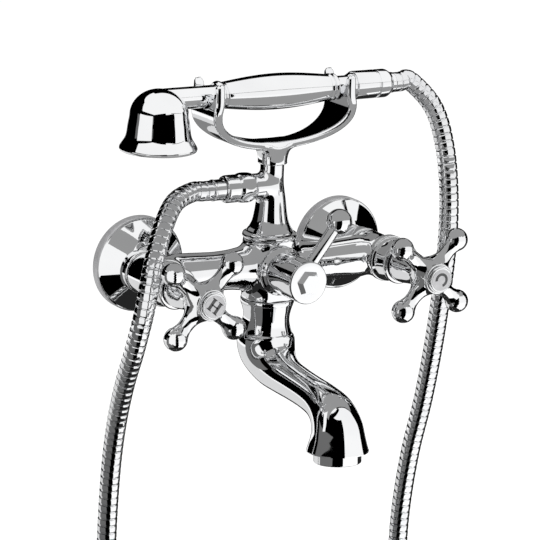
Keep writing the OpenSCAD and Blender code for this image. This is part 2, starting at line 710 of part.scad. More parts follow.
// The whole band: middle of its thickness, half its width and half its thickness
function band_stations() =
    let (rise = shower_z - bow_z, last = len(band_side) - 1,
        half = concat(
            [for (q = band_side) [lug_x * q[0], bow_z + rise * q[1], q[2], q[3]]],
            [[lug_x, lug_top - 3, 16.2, 3.2], [lug_x, lug_top - 1, 15.8, 2.9],
                [lug_x, lug_top, 14.8, 1.9]]))
    concat([for (i = [len(half) - 1 : -1 : 1]) [-half[i][0], half[i][1], half[i][2], half[i][3]]], half);

// A rounded oblong ring of 16 points at one station of the band
function band_ring(here, dir) =
    let (out = [-dir[1], dir[0]])
    [for (k = [0 : 15])
        let (a = 22.5 * k + 11.25, c = cos(a), s = sin(a),
            w = here[2] * sign(c) * pow(abs(c), 0.45), t = here[3] * sign(s) * pow(abs(s), 0.6))
        [here[0] + out[0] * t, w - body_reach, here[1] + out[1] * t]];

module band() {
    st = curve(band_stations(), 2);
    n = len(st);
    flat = [for (q = st) [q[0], q[1]]];
    pts = [for (i = [0 : n - 1]) each band_ring(st[i], along(flat, i))];
    polyhedron(points = pts, faces = concat(
        skin(n, 16, 0, true),
        [for (k = [1 : 14]) [0, k, k + 1]],
        [for (k = [1 : 14]) [(n - 1) * 16, (n - 1) * 16 + k + 1, (n - 1) * 16 + k]]));
}

module cradle() {
    collar = cradle_collar_d / 2;
    color(chrome) difference() {
        union() {
            band();
            translate([0, -body_reach, 0]) turned([[0, cradle_z], [collar - 0.4, cradle_z],
                [collar, cradle_z + 0.5], [collar, cradle_z + 6], [collar - 0.6, cradle_z + 8],
                [collar - 1.4, cradle_z + 10.4], [0, cradle_z + 10.4]]);
        }
        translate([0, -body_reach, cradle_z - 1])
            cylinder(r = spigot_r + slip, h = spigot_z - cradle_z + 1.3);
        cross_axis(saddle_z) translate([0, 0, -1.5 * lug_x]) cylinder(r = cup_r, h = 3 * lug_x);
        translate([-1.5 * lug_x, -body_reach - cup_r, saddle_z])
            cube([3 * lug_x, 2 * cup_r, lug_top - saddle_z + 5]);
        translate([0, -body_reach, cradle_z + 4]) rotate([90, 0, -20])
            cylinder(r = 1.5 + slip, h = 20);
    }
}

// The grub screw that locks the cradle's collar on the column
module cradle_screw() {
    collar = cradle_collar_d / 2;
    color(black) translate([0, -body_reach, cradle_z + 4]) rotate([90, 0, -20]) difference() {
        translate([0, 0, 7]) cylinder(r = 1.5, h = collar - 7.2);
        translate([0, 0, collar - 1.4]) cylinder(r = 0.8, h = 3, $fn = 6);
    }
}

// The bell: a spun shell with a domed top and a flared lip, its heights counted from the rim
function bell_dome_points(r, h) = [for (a = [15 : 15 : 90]) [r * cos(a), bell_side + h * sin(a)]];
function bell_outline() = let (r = bell_d / 2) concat(
    [[r - 1, 0], [r - 0.3, 0.5], [r, 1.4], [r - 0.2, 2.4], [r - 1.6, 4.6]],
    [[r - 3.4, 7.6], [r - 4.4, 11], [r - 5, 16], [r - 6, bell_side]],
    bell_dome_points(r - 6, bell_dome));
function bell_inside() = let (r = bell_d / 2 - bell_wall) concat(
    [[r - 0.6, 0], [r - 0.6, 4], [r - 3.6, 7.8], [r - 4.5, 11], [r - 5, 16], [r - 6, bell_side]],
    bell_dome_points(r - 6, bell_dome - bell_wall));

// Places children on the bell's axis: its dome's top stands level with the neck's top
module bell_place() {
    translate([-bell_x, -body_reach, shower_z + shower_neck_d / 2 - bell_side - bell_dome]) children();
}

module shower_bell() {
    color(chrome) difference() {
        bell_place() turned(concat([[0, 0]], bell_outline()));
        bell_place() turned(concat([[0, -1], [bell_d / 2 - bell_wall - 0.6, -1]], bell_inside()));
        cross_axis(shower_z) translate([0, 0, -bell_x]) cylinder(r = shower_neck_d / 2 - 2, h = 40);
    }
}

// The plate with the spray holes, pressed into the bell's lip
module spray_plate() {
    r = bell_d / 2 - bell_wall - 0.6 - slip;
    color(chrome) bell_place() difference() {
        turned([[0, 1.4], [r - 5, 1.6], [r - 0.6, 1], [r, 1.4], [r, 4], [r - 1, 4.4], [0, 4.4]]);
        for (row = [1 : 3], i = [0 : 6 * row - 1]) rotate([0, 0, 60 * i / row])
            translate([5 * row, 0, -2]) cylinder(r = 0.8, h = 10, $fn = 16);
    }
}

// The neck between bell and grip, cut to the bell's round side
module shower_neck() {
    r = shower_neck_d / 2;
    color(chrome) difference() {
        cross_axis(shower_z) turned([[r - 2, -bell_x + 1.5], [r, -bell_x + 1.5], [r, -collar_end],
            [r - 2, -collar_end]]);
        bell_place() turned(concat([[0, 0]], bell_outline()));
    }
}

module front_collar() {
    r = grip_end_d / 2;
    color(chrome) cross_axis(shower_z) turned(concat([[3, -collar_end], [r - 0.6, -collar_end]],
        arc([r - 1.2, -collar_end + 2.6], 2, -60, 60, 5),
        [[r - 0.8, -grip_half - 0.6], [r - 0.8, -grip_half], [3, -grip_half]]));
}

// The bulged grip, fullest at its middle
module grip() {
    e = grip_end_d / 2;
    m = grip_d / 2 - e;
    n = 16;
    color([0.9, 0.9, 0.91]) cross_axis(shower_z) turned(concat([[3, -grip_half]],
        [for (i = [0 : n]) let (x = -grip_half + 2 * grip_half * i / n)
            [e + m * cos(90 * x / grip_half), x]],
        [[3, grip_half]]));
}

module rear_collar() {
    r = grip_end_d / 2;
    color(chrome) cross_axis(shower_z) turned(concat([[3, grip_half], [r - 0.8, grip_half]],
        arc([r - 1, grip_half + 1.6], 1.4, -80, 80, 4),
        [[r - 1.2, grip_half + 3.3]],
        arc([r - 1, collar_end - 1.45], 1.2, -80, 60, 4),
        [[3, collar_end]]));
}

// The hand shower's threaded tail, which lies in the right fork and enters the nut
module shower_tail() {
    r = shower_neck_d / 2;
    color(chrome) cross_axis(shower_z) turned([[3, collar_end], [r - 0.2, collar_end],
        [r - 0.2, collar_end + 9], [tail_r + 1, nut_x0 - 1.2], [tail_r + 1, nut_x0],
        [tail_r, nut_x0], [tail_r, nut_x0 + 12], [3, nut_x0 + 12]]);
}

// The spout's way in the plane X = 0, chosen by hand: distance in front of the body axis
// (negative towards the room), height and outer radius
spout_stations = [
    [0, -24, 17.2], [0, -28, 15.8], [0.2, -34, 14.9], [0.9, -41, 16.4], [0.5, -48, 18.6],
    [-3.5, -56, 18.2], [-12.5, -63, 15.2], [-25.5, -66.6, 12.6], [-41.5, -68.2, 11.6],
    [-57.5, -69.6, 11.5], [-71.5, -71.6, 12.4], [-83, -76, 14.6], [-89, -83, 16.2],
    [-90.8, -89.5, 17.4], [outlet_y, outlet_z, 19.6]
];

module bath_spout() {
    st = curve(spout_stations, 2);
    path = [for (q = st) [0, q[0] - body_reach, q[1]]];
    outer = [for (q = st) q[2]];
    inner = [for (q = st) q[2] - spout_wall - 1.4];
    flange = spout_flange_d / 2;
    color(chrome) difference() {
        union() {
            tube(path, outer, path, inner, 28, [1, 0, 0]);
            translate([0, -body_reach, 0]) difference() {
                turned([[0, spout_z0 + 9], [spout_plug_r, spout_z0 + 9], [spout_plug_r, spout_z0],
                    [flange - 0.5, spout_z0], [flange, spout_z0 - 0.6], [flange, spout_z0 - 2.2],
                    [flange - 0.5, spout_z0 - 3.5], [0, spout_z0 - 3.5]]);
                translate([0, 0, spout_z0 - 9]) cylinder(r = 6, h = 30);
            }
        }
        outlet_axis() translate([0, 0, -8]) cylinder(r = aerator_d / 2 + slip, h = 12);
        outlet_axis() translate([0, 0, -28]) cylinder(r = 30, h = 27.4);
    }
}

module spout_seal() {
    color(black) translate([0, -body_reach, 0])
        ring(15.6, spout_plug_r + slip, spout_z0, -pillar_bottom);
}

// Places children on the outlet's axis: their height counts up from the spout's mouth
module outlet_axis() {
    translate([0, outlet_y - body_reach, outlet_z]) rotate([-outlet_tilt, 0, 0]) children();
}

module aerator_housing() {
    r = aerator_d / 2;
    color(chrome) outlet_axis() turned([[r - 2.2, 4 - slip], [r, 4 - slip], [r, 0.6 - aerator_show],
        [r - 0.6, -aerator_show], [r - 2, -aerator_show], [r - 3.4, 2 - aerator_show],
        [r - 3.4, 3 - aerator_show], [r - 2.2, 3 - aerator_show]]);
}

// The aerator's insert: a cup with a ring of slots round a solid middle
module aerator_insert() {
    r = aerator_d / 2 - 2.2 - slip;
    z0 = 3 - aerator_show;
    color(white) outlet_axis() difference() {
        turned([[0, z0], [r, z0], [r, 3], [0, 3]]);
        for (row = [1 : 3], i = [0 : 6 * row - 1]) rotate([0, 0, 60 * i / row])
            translate([3.4 * row, 0, z0 - 1]) cylinder(r = 1, h = 10, $fn = 16);
    }
}

rose(-1);  // left_rose
rose(1);  // right_rose
s_union(-1);  // left_union
s_union(1);  // right_union
union_nut(-1);  // left_union_nut
union_nut(1);  // right_union_nut
union_washers();
mixer_body();
headwork(-1);  // hot_headwork
headwork(1);  // cold_headwork
bonnet(-1);  // left_bonnet
bonnet(1);  // right_bonnet
gland_rings();
spindle(-1);  // hot_spindle
spindle(1);  // cold_spindle
cross_handle(-1);  // hot_handle
cross_handle(1);  // cold_handle
handle_screw(-1);  // hot_screw
handle_screw(1);  // cold_screw
button(-1);  // hot_button
button(1);  // cold_button
diverter_bushing();
diverter_spindle();
diverter_drum();
lever_rod();
lever_ball();
riser_column();
column_seal();
hose_nut();
branch_ferrule();
branch_washer();
tail_washer();
shower_hose();
handset_ferrule();
handset_nut();
cradle();
cradle_screw();
shower_bell();
spray_plate();
shower_neck();
front_collar();
grip();
rear_collar();
shower_tail();
bath_spout();
spout_seal();
aerator_housing();
aerator_insert();
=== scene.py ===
import math
import bmesh
import bpy
import numpy as np
from mathutils import Matrix, Vector
from mathutils.geometry import interpolate_bezier


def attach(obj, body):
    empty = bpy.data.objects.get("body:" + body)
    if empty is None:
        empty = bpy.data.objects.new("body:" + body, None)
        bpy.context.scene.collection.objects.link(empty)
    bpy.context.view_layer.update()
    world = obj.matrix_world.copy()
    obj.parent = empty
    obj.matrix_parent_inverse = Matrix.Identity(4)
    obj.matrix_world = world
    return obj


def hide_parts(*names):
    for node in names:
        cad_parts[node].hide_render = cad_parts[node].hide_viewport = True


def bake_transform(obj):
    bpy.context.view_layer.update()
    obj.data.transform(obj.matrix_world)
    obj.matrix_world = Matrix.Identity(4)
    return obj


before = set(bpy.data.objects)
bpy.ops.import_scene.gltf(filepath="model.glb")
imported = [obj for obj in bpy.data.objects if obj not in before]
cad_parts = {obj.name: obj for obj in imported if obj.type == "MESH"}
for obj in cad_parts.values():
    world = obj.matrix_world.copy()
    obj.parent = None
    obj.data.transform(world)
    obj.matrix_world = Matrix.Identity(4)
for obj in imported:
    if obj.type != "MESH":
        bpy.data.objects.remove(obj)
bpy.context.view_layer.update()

# Wall-mounted bath mixer with a hand shower. Its sizes are in millimetres, as in the CAD source,
# and those of the camera and the studio are in metres.
scene = bpy.context.scene
scene.view_settings.view_transform = "Standard"
mm = 0.001
near = 2e-6           # metres; spots closer than this are the same
reach = 40.5          # from the wall to the body's axis
inletX, valveX = 75, 83
showerZ = 113.7       # height of the hand shower's axis
sides = ((-1, "left"), (1, "right"))
print("frame loaded:", len(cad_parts), "nodes")


# camera of the photograph
photoCamera = {"lens": 202.85, "sensor": 36, "place": (-0.9855, -1.6564, 0.4782), "turn": -31.4115,
               "drop": 14.2651, "roll": 2.2115}


def makeCamera(settings):
    data = bpy.data.cameras.new("photoCamera")
    data.lens = settings["lens"]
    data.sensor_width = settings["sensor"]
    data.clip_start = 0.05
    camera = bpy.data.objects.new("photoCamera", data)
    turn, drop, roll = (math.radians(settings[key]) for key in ("turn", "drop", "roll"))
    camera.matrix_world = (Matrix.Translation(settings["place"]) @ Matrix.Rotation(turn, 4, "Z")
                           @ Matrix.Rotation(math.pi / 2 - drop, 4, "X") @ Matrix.Rotation(roll, 4, "Z"))
    scene.collection.objects.link(camera)
    scene.camera = camera


makeCamera(photoCamera)


# materials
def newMaterial(name):
    material = bpy.data.materials.new(name)
    material.use_nodes = True
    tree = material.node_tree
    shader = tree.nodes["Principled BSDF"]
    place = tree.nodes.new("ShaderNodeTexCoord").outputs["Object"]
    return material, tree, shader, place


def addNoise(tree, place, scale, detail=3.0, rough=0.5):
    noise = tree.nodes.new("ShaderNodeTexNoise")
    noise.inputs["Scale"].default_value = scale
    noise.inputs["Detail"].default_value = detail
    noise.inputs["Roughness"].default_value = rough
    tree.links.new(place, noise.inputs["Vector"])
    return noise.outputs["Fac"]


def addRange(tree, value, low, high, fromLow=0.3, fromHigh=0.7):
    spread = tree.nodes.new("ShaderNodeMapRange")
    for key, number in (("From Min", fromLow), ("From Max", fromHigh), ("To Min", low), ("To Max", high)):
        spread.inputs[key].default_value = number
    tree.links.new(value, spread.inputs["Value"])
    return spread.outputs["Result"]


def addColours(tree, value, dark, light):
    ramp = tree.nodes.new("ShaderNodeValToRGB")
    ramp.color_ramp.elements[0].position = 0.3
    ramp.color_ramp.elements[0].color = (*dark, 1)
    ramp.color_ramp.elements[1].position = 0.7
    ramp.color_ramp.elements[1].color = (*light, 1)
    tree.links.new(value, ramp.inputs["Fac"])
    return ramp.outputs["Color"]


def addBump(tree, shader, value, strength, distance):
    bump = tree.nodes.new("ShaderNodeBump")
    bump.inputs["Strength"].default_value = strength
    bump.inputs["Distance"].default_value = distance
    tree.links.new(value, bump.inputs["Height"])
    tree.links.new(bump.outputs["Normal"], shader.inputs["Normal"])


chromeLooks = {
    "polishedChrome": {"dark": (0.86, 0.865, 0.875), "light": (0.93, 0.935, 0.94), "rough": (0.015, 0.04),
                       "wave": 0.06, "waveScale": 55},
    "castChrome": {"dark": (0.84, 0.845, 0.86), "light": (0.93, 0.935, 0.94), "rough": (0.02, 0.055),
                   "wave": 0.16, "waveScale": 38},
    "hoseChrome": {"dark": (0.76, 0.765, 0.78), "light": (0.9, 0.905, 0.91), "rough": (0.04, 0.11),
                   "wave": 0.1, "waveScale": 160},
}
# name of the material, darkest and lightest colour, roughness, grain, bump, metallic
dullLooks = {
    "rubber": ("sealRubber", (0.018, 0.018, 0.02), (0.045, 0.045, 0.05), (0.5, 0.7), 300, 0.3, 0.0),
    "darkSteel": ("darkSteel", (0.06, 0.06, 0.065), (0.16, 0.16, 0.17), (0.25, 0.4), 500, 0.15, 1.0),
    "plastic": ("whitePlastic", (0.78, 0.78, 0.77), (0.9, 0.9, 0.89), (0.32, 0.45), 260, 0.12, 0.0),
    # dull grey metal for the roses' rim edges: a painted grey reflection
    "paintedGreyReflection": ("paintedGreyReflection", (0.46, 0.46, 0.47), (0.56, 0.56, 0.57), (0.42, 0.55), 220, 0.05, 0.45),
    "buttonGrey": ("buttonGrey", (0.5, 0.5, 0.51), (0.58, 0.58, 0.59), (0.2, 0.3), 260, 0.05, 1.0),
    "enamel": ("markGrey", (0.05, 0.05, 0.052), (0.09, 0.09, 0.092), (0.25, 0.4), 260, 0.1, 0.0),
}


def makeChrome(name, look):
    material, tree, shader, place = newMaterial(name)
    shader.inputs["Metallic"].default_value = 1.0
    cloud = addNoise(tree, place, 24, 4)
    tree.links.new(addColours(tree, cloud, look["dark"], look["light"]), shader.inputs["Base Color"])
    smudge = addNoise(tree, place, 320, 5, 0.6)
    tree.links.new(addRange(tree, smudge, *look["rough"]), shader.inputs["Roughness"])
    addBump(tree, shader, addNoise(tree, place, look["waveScale"], 1.5), look["wave"], 0.0006)
    return material


def makeBrass():
    material, tree, shader, place = newMaterial("rawBrass")
    shader.inputs["Metallic"].default_value = 1.0
    colour = addColours(tree, addNoise(tree, place, 90, 4), (0.66, 0.5, 0.2), (0.86, 0.71, 0.37))
    tree.links.new(colour, shader.inputs["Base Color"])
    tree.links.new(addRange(tree, addNoise(tree, place, 900, 3), 0.18, 0.38), shader.inputs["Roughness"])
    lathe = tree.nodes.new("ShaderNodeTexWave")
    lathe.bands_direction = "Y"
    lathe.inputs["Scale"].default_value = 420
    lathe.inputs["Distortion"].default_value = 0.6
    tree.links.new(place, lathe.inputs["Vector"])
    addBump(tree, shader, lathe.outputs["Fac"], 0.12, 0.0002)
    return material


def makeDull(name, dark, light, rough, grain, bump, metallic):
    material, tree, shader, place = newMaterial(name)
    shader.inputs["Metallic"].default_value = metallic
    tree.links.new(addColours(tree, addNoise(tree, place, grain, 4), dark, light),
                   shader.inputs["Base Color"])
    tree.links.new(addRange(tree, addNoise(tree, place, grain * 3, 3), *rough), shader.inputs["Roughness"])
    addBump(tree, shader, addNoise(tree, place, grain * 6, 4), bump, 0.0001)
    return material


finishes = {name: makeChrome(name, look) for name, look in chromeLooks.items()}
finishes["brass"] = makeBrass()
for key, look in dullLooks.items():
    finishes[key] = makeDull(*look)


# shaping helpers
def roomAxis(x=0.0, z=0.0):      # local height = distance from the wall
    return Matrix.Translation((x * mm, 0, z * mm)) @ Matrix.Rotation(math.pi / 2, 4, "X")


def crossAxis(z=0.0):            # local height = +X, at the body's distance from the wall
    return (Matrix.Translation((0, -reach * mm, z * mm)) @ Matrix.Rotation(math.pi / 2, 4, "Z")
            @ Matrix.Rotation(math.pi / 2, 4, "X"))


def upAxis(x=0.0, z=0.0):        # local height = +Z, on the body's axis
    return Matrix.Translation((x * mm, -reach * mm, z * mm))


def branchAxis(z):               # local height = -X, at the body's distance from the wall
    return Matrix.Translation((0, -reach * mm, z * mm)) @ Matrix.Rotation(-math.pi / 2, 4, "Y")


def smoothLine(points, steps=6):
    line = []
    knots = [Vector(point) for point in points]
    for i in range(len(knots) - 1):
        before, after = knots[max(i - 1, 0)], knots[min(i + 2, len(knots) - 1)]
        leave = knots[i] + (knots[i + 1] - before) / 6
        arrive = knots[i + 1] - (after - knots[i]) / 6
        line += [tuple(point) for point in
                 interpolate_bezier(knots[i], leave, arrive, knots[i + 1], steps + 1)[:-1]]
    return line + [tuple(knots[-1])]


def flatLine(points, steps=6):   # a smooth run of an outline
    return [(p[0], p[1]) for p in smoothLine([(a, b, 0) for a, b in points], steps)]


def spinShape(outline, place, steps=96, hollow=False):
    # outline: (radius, height) or (radius, height, rounding of that corner)
    shape = bmesh.new()
    verts = [shape.verts.new((p[0] * mm, 0, p[1] * mm)) for p in outline]
    edges = [shape.edges.new(pair) for pair in zip(verts, verts[1:])]
    if hollow:
        edges.append(shape.edges.new((verts[-1], verts[0])))
    bmesh.ops.spin(shape, geom=verts + edges, cent=(0, 0, 0), axis=(0, 0, 1), angle=math.tau, steps=steps,
                   use_merge=True)
    bmesh.ops.remove_doubles(shape, verts=shape.verts[:], dist=near / 2)
    for radius, height, rounding in (p for p in outline if len(p) == 3 and p[2] > 0):
        ring = {v for v in shape.verts if abs(math.hypot(v.co.x, v.co.y) - radius * mm) < near
                and abs(v.co.z - height * mm) < near}
        corner = [e for e in shape.edges if e.verts[0] in ring and e.verts[1] in ring]
        bmesh.ops.bevel(shape, geom=corner, offset=rounding * mm, offset_type="OFFSET", segments=4,
                        profile=0.5, affect="EDGES", material=-1, clamp_overlap=True)
    bmesh.ops.recalc_face_normals(shape, faces=shape.faces[:])
    bmesh.ops.transform(shape, matrix=place, verts=shape.verts[:])
    return shape


def joinShapes(shapes):
    whole = shapes[0]
    for other in shapes[1:]:
        spare = bpy.data.meshes.new("spare")
        other.to_mesh(spare)
        other.free()
        whole.from_mesh(spare)
        bpy.data.meshes.remove(spare)
    return whole


def vertsOf(geometry):
    return [part for part in geometry if isinstance(part, bmesh.types.BMVert)]


def newObject(name, shape):
    mesh = bpy.data.meshes.new(name)
    shape.to_mesh(mesh)
    shape.free()
    thing = bpy.data.objects.new(name, mesh)
    scene.collection.objects.link(thing)
    return thing


def evaluatedShape(thing):
    bpy.context.view_layer.update()
    shape = bmesh.new()
    shape.from_mesh(thing.evaluated_get(bpy.context.evaluated_depsgraph_get()).to_mesh())
    return shape


def removeObject(thing):
    mesh = thing.data
    bpy.data.objects.remove(thing)
    bpy.data.meshes.remove(mesh)


def cutShape(shape, cutter, kind):
    objects = [newObject("shape", shape), newObject("cutter", cutter)]
    boolean = objects[0].modifiers.new("cut", "BOOLEAN")
    boolean.operation = kind
    boolean.object = objects[1]
    boolean.solver = "EXACT"
    result = evaluatedShape(objects[0])
    for spare in objects:
        removeObject(spare)
    return result


def placePiece(piece, body, nodes):
    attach(piece, body)
    if nodes:
        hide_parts(*nodes)
    return piece


def addPiece(name, shape, finish, body, nodes=(), sharp=30):
    piece = newObject(name, shape)
    piece.data.shade_smooth()
    piece.data.set_sharp_from_angle(angle=math.radians(sharp))
    piece.data.materials.append(finishes[finish])
    return placePiece(piece, body, nodes)


def turnPiece(name, outline, place, body, nodes=(), steps=96, hollow=True, sharp=30):
    return addPiece(name, spinShape(outline, place, steps, hollow), "polishedChrome", body, nodes, sharp)


def paintFaces(piece, finish, x, chosen):
    # chosen: a test of a face's distances from the piece's axis and from the wall, in millimetres
    piece.data.materials.append(finishes[finish])
    for face in piece.data.polygons:
        spot = face.center / mm
        face.material_index = int(chosen(math.hypot(spot.x - x, spot.z), -spot.y))


def ringLoft(rings, segments):
    # rings: (centre, direction, radius) in millimetres, joined one to the next
    shape = bmesh.new()
    previous = None
    for centre, direction, radius in rings:
        turn = Vector(direction).to_track_quat("Z", "X").to_matrix().to_4x4()
        place = Matrix.Translation(Vector(centre) * mm) @ turn
        made = bmesh.ops.create_circle(shape, segments=segments, radius=radius * mm, matrix=place)["verts"]
        loop = list({e for v in made for e in v.link_edges})
        if previous is not None:
            bmesh.ops.bridge_loops(shape, edges=previous + loop)
        else:
            bmesh.ops.contextual_create(shape, geom=loop)
        previous = loop
    bmesh.ops.contextual_create(shape, geom=previous)
    bmesh.ops.recalc_face_normals(shape, faces=shape.faces[:])
    return shape


# cast forms: shapes melted together, as a casting's fillets are
def turnedField(outline, place):
    inverse = np.array(place.inverted())
    points = np.array([p[:2] for p in outline], float)

    def field(spots):
        local = (spots * mm) @ inverse[:3, :3].T + inverse[:3, 3]
        across, along = np.hypot(local[:, 0], local[:, 1]) / mm, local[:, 2] / mm
        nearest = np.full(len(spots), 1e18)
        inside = np.zeros(len(spots), bool)
        for (r0, h0), (r1, h1) in zip(points, points[1:]):
            dr, dh = r1 - r0, h1 - h0
            size = dr * dr + dh * dh
            if size < 1e-12:
                continue
            if not (r0 < 1e-9 and r1 < 1e-9):
                t = np.clip(((across - r0) * dr + (along - h0) * dh) / size, 0, 1)
                nearest = np.minimum(nearest, (across - r0 - t * dr) ** 2 + (along - h0 - t * dh) ** 2)
            crosses = (h0 > along) != (h1 > along)
            with np.errstate(divide="ignore", invalid="ignore"):
                inside ^= crosses & (across < r0 + dr * (along - h0) / (dh if dh else 1e-12))
        return np.sqrt(nearest) * np.where(inside, -1.0, 1.0)
    return field


def melt(a, b, width):           # union with a fillet
    blend = np.maximum(width - np.abs(a - b), 0) / width
    return np.minimum(a, b) - blend * blend * width / 4


def carve(a, b, width):          # a with b cut away, its edges softened
    blend = np.maximum(width - np.abs(a + b), 0) / width
    return np.maximum(a, -b) + blend * blend * width / 4


def fieldSlope(field, spots, step):
    return np.stack([field(spots + shift) - field(spots - shift) for shift in np.eye(3) * step], 1)


def settle(spots, field, limit, rounds=3, step=0.02):
    for _ in range(rounds):
        here, slope = field(spots), fieldSlope(field, spots, step) / (2 * step)
        spots = spots - np.clip(here / np.maximum((slope ** 2).sum(1), 0.3), -limit, limit)[:, None] * slope
    return spots


def castPiece(name, shape, field, body, voxel, nodes):
    rough = newObject(name, shape)
    remesh = rough.modifiers.new("voxels", "REMESH")
    remesh.mode = "VOXEL"
    remesh.voxel_size = voxel * mm
    shape = evaluatedShape(rough)
    removeObject(rough)
    for _ in range(3):
        bmesh.ops.smooth_vert(shape, verts=shape.verts[:], factor=0.5,
                              use_axis_x=True, use_axis_y=True, use_axis_z=True)
        spots = settle(np.array([v.co for v in shape.verts]) / mm, field, voxel * 1.5)
        for vert, spot in zip(shape.verts, spots * mm):
            vert.co = spot
    bmesh.ops.recalc_face_normals(shape, faces=shape.faces[:])
    piece = newObject(name, shape)
    piece.data.shade_smooth()
    slope = fieldSlope(field, spots, 0.05)
    piece.data.normals_split_custom_set_from_vertices(
        slope / np.maximum(np.linalg.norm(slope, axis=1), 1e-9)[:, None])
    piece.data.materials.append(finishes["castChrome"])
    print("  ", name, len(piece.data.polygons), "faces")
    return placePiece(piece, body, nodes)


# hose
hose = {
    "diameter": 12.8, "ribs": 260, "sides": 36, "sharp": 28,
    # one rib: share of its pitch, radius
    "rib": ((0, 5.75), (0.08, 5.75), (0.13, 6.2), (0.2, 6.38), (0.34, 6.4), (0.74, 6.4), (0.88, 6.38),
            (0.95, 6.2)),
    "route": ((-44.5, -40.5, 53), (-50.5, -40.5, 53), (-58.5, -40.5, 53), (-75, -48, 49), (-89, -59, 36),
              (-100, -68, 15), (-107, -72, -10), (-109, -64, -38), (-108, -50, -65), (-106, -37, -95),
              (-105, -29, -130), (-105, -26, -180), (-104, -26, -245), (-100, -26, -308), (-88, -26, -366),
              (-64, -26, -411), (-30, -26, -438), (8, -26, -447), (46, -26, -438), (80, -26, -411),
              (104, -26, -366), (116, -26, -308), (120, -26, -245), (120, -28, -190), (122, -33, -145),
              (125, -41, -105), (125, -50, -65), (124, -57, -30), (124, -61, 5), (125, -59, 38),
              (124, -53, 70), (118, -46, 96), (102.2, -40.5, 113.7), (94.2, -40.5, 113.7),
              (88.2, -40.5, 113.7)),
}


def carriedFrames(path):
    ahead = np.gradient(path, axis=0)
    ahead[0], ahead[-1] = path[1] - path[0], path[-1] - path[-2]
    ahead /= np.linalg.norm(ahead, axis=1)[:, None]
    side = np.zeros_like(path)
    last = np.array((0.0, 1.0, 0.0))
    for i, way in enumerate(ahead):
        last = last - last.dot(way) * way
        last /= np.linalg.norm(last)
        side[i] = last
    return side, np.cross(ahead, side)


def makeHose(settings):
    line = np.array(smoothLine(settings["route"], 16))
    run = np.concatenate([[0], np.cumsum(np.linalg.norm(np.diff(line, axis=0), axis=1))])
    total = run[-1]
    stops, radii = [], []
    for rib in range(settings["ribs"]):
        for part, radius in settings["rib"]:
            stops.append((rib + part) / settings["ribs"] * total)
            radii.append(radius)
    stops.append(total)
    radii.append(settings["rib"][0][1])
    path = np.stack([np.interp(stops, run, line[:, axis]) for axis in range(3)], 1)
    side, up = carriedFrames(path)
    turns = np.linspace(0, math.tau, settings["sides"], endpoint=False)
    rings = path[:, None, :] + np.array(radii)[:, None, None] * (
        np.cos(turns)[None, :, None] * side[:, None, :] + np.sin(turns)[None, :, None] * up[:, None, :])
    n = settings["sides"]
    faces = [(i * n + k, i * n + (k + 1) % n, (i + 1) * n + (k + 1) % n, (i + 1) * n + k)
             for i in range(len(stops) - 1) for k in range(n)]
    faces += [tuple(range(n))[::-1], tuple(range((len(stops) - 1) * n, len(stops) * n))]
    mesh = bpy.data.meshes.new("ribbedHose")
    mesh.from_pydata((rings.reshape(-1, 3) * mm).tolist(), [], faces)
    mesh.shade_smooth()
    mesh.set_sharp_from_angle(angle=math.radians(settings["sharp"]))
    mesh.materials.append(finishes["hoseChrome"])
    piece = bpy.data.objects.new("ribbedHose", mesh)
    scene.collection.objects.link(piece)
    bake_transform(piece)
    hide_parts("shower_hose")
    print("hose:", round(total), "mm,", settings["ribs"], "ribs")


makeHose(hose)


# wall fittings
# outlines of turned pieces: (radius, height on the axis, rounding of that corner)
wallFittings = {
    "rose": ((31, 0, 0.3), (31, 6.5, 0.8), (29.4, 7.1, 0.5), (16.9, 15.9, 1.4), (15.4, 17.5, 0.3),
             (15.3, 15.1), (28.8, 4.9, 0.6), (29.8, 4.1), (29.8, 0, 0.2)),
    "edgeRadius": 30.1, "edgeFront": 6.9,
    "unionEnd": ((5.5, -15, 0.3), (9.0775, -15, 0.3)),
    "unionBarrel": ((9.3775, 0.2), (9.3775, 3, 0.3), (15, 3, 0.8), (15, 18.5, 1), (5.5, 18.5, 0.3)),
    "threadFoot": 9.3775, "threadRadius": 10.4775, "threadPitch": 1.814, "threadStart": -14, "threadTurns": 7,
    "nut": ((10.7, 18.5, 0.2), (13.6, 18.5, 1.2), (13.6, 26.4, 1.2), (8.3, 26.4, 0.3), (8.3, 24.4),
            (10.7, 24.4)),
}


def makeWallFittings(settings):
    foot, crest = settings["threadFoot"], settings["threadRadius"]
    ridges = []
    for i in range(settings["threadTurns"]):
        z = settings["threadStart"] + i * settings["threadPitch"]
        ridges += [(foot, z), (crest, z + 0.75), (crest, z + 1)]
    for side, word in sides:
        inlet = roomAxis(side * inletX)
        rose = turnPiece(word + "Rose", settings["rose"], inlet, "mixer", [word + "_rose"], 128)
        paintFaces(rose, "paintedGreyReflection", side * inletX,         # the rim's edge gets a dull grey metal, a painted grey reflection
                   lambda across, out: across > settings["edgeRadius"] and out < settings["edgeFront"])
        union = [*settings["unionEnd"], *ridges, *settings["unionBarrel"]]
        addPiece(word + "Union", spinShape(union, inlet, 96, hollow=True), "castChrome", "mixer",
                 [word + "_union"])
        turnPiece(word + "UnionNut", settings["nut"], roomAxis(side * valveX), "mixer", [word + "_union_nut"])
    print("wall fittings done")


makeWallFittings(wallFittings)


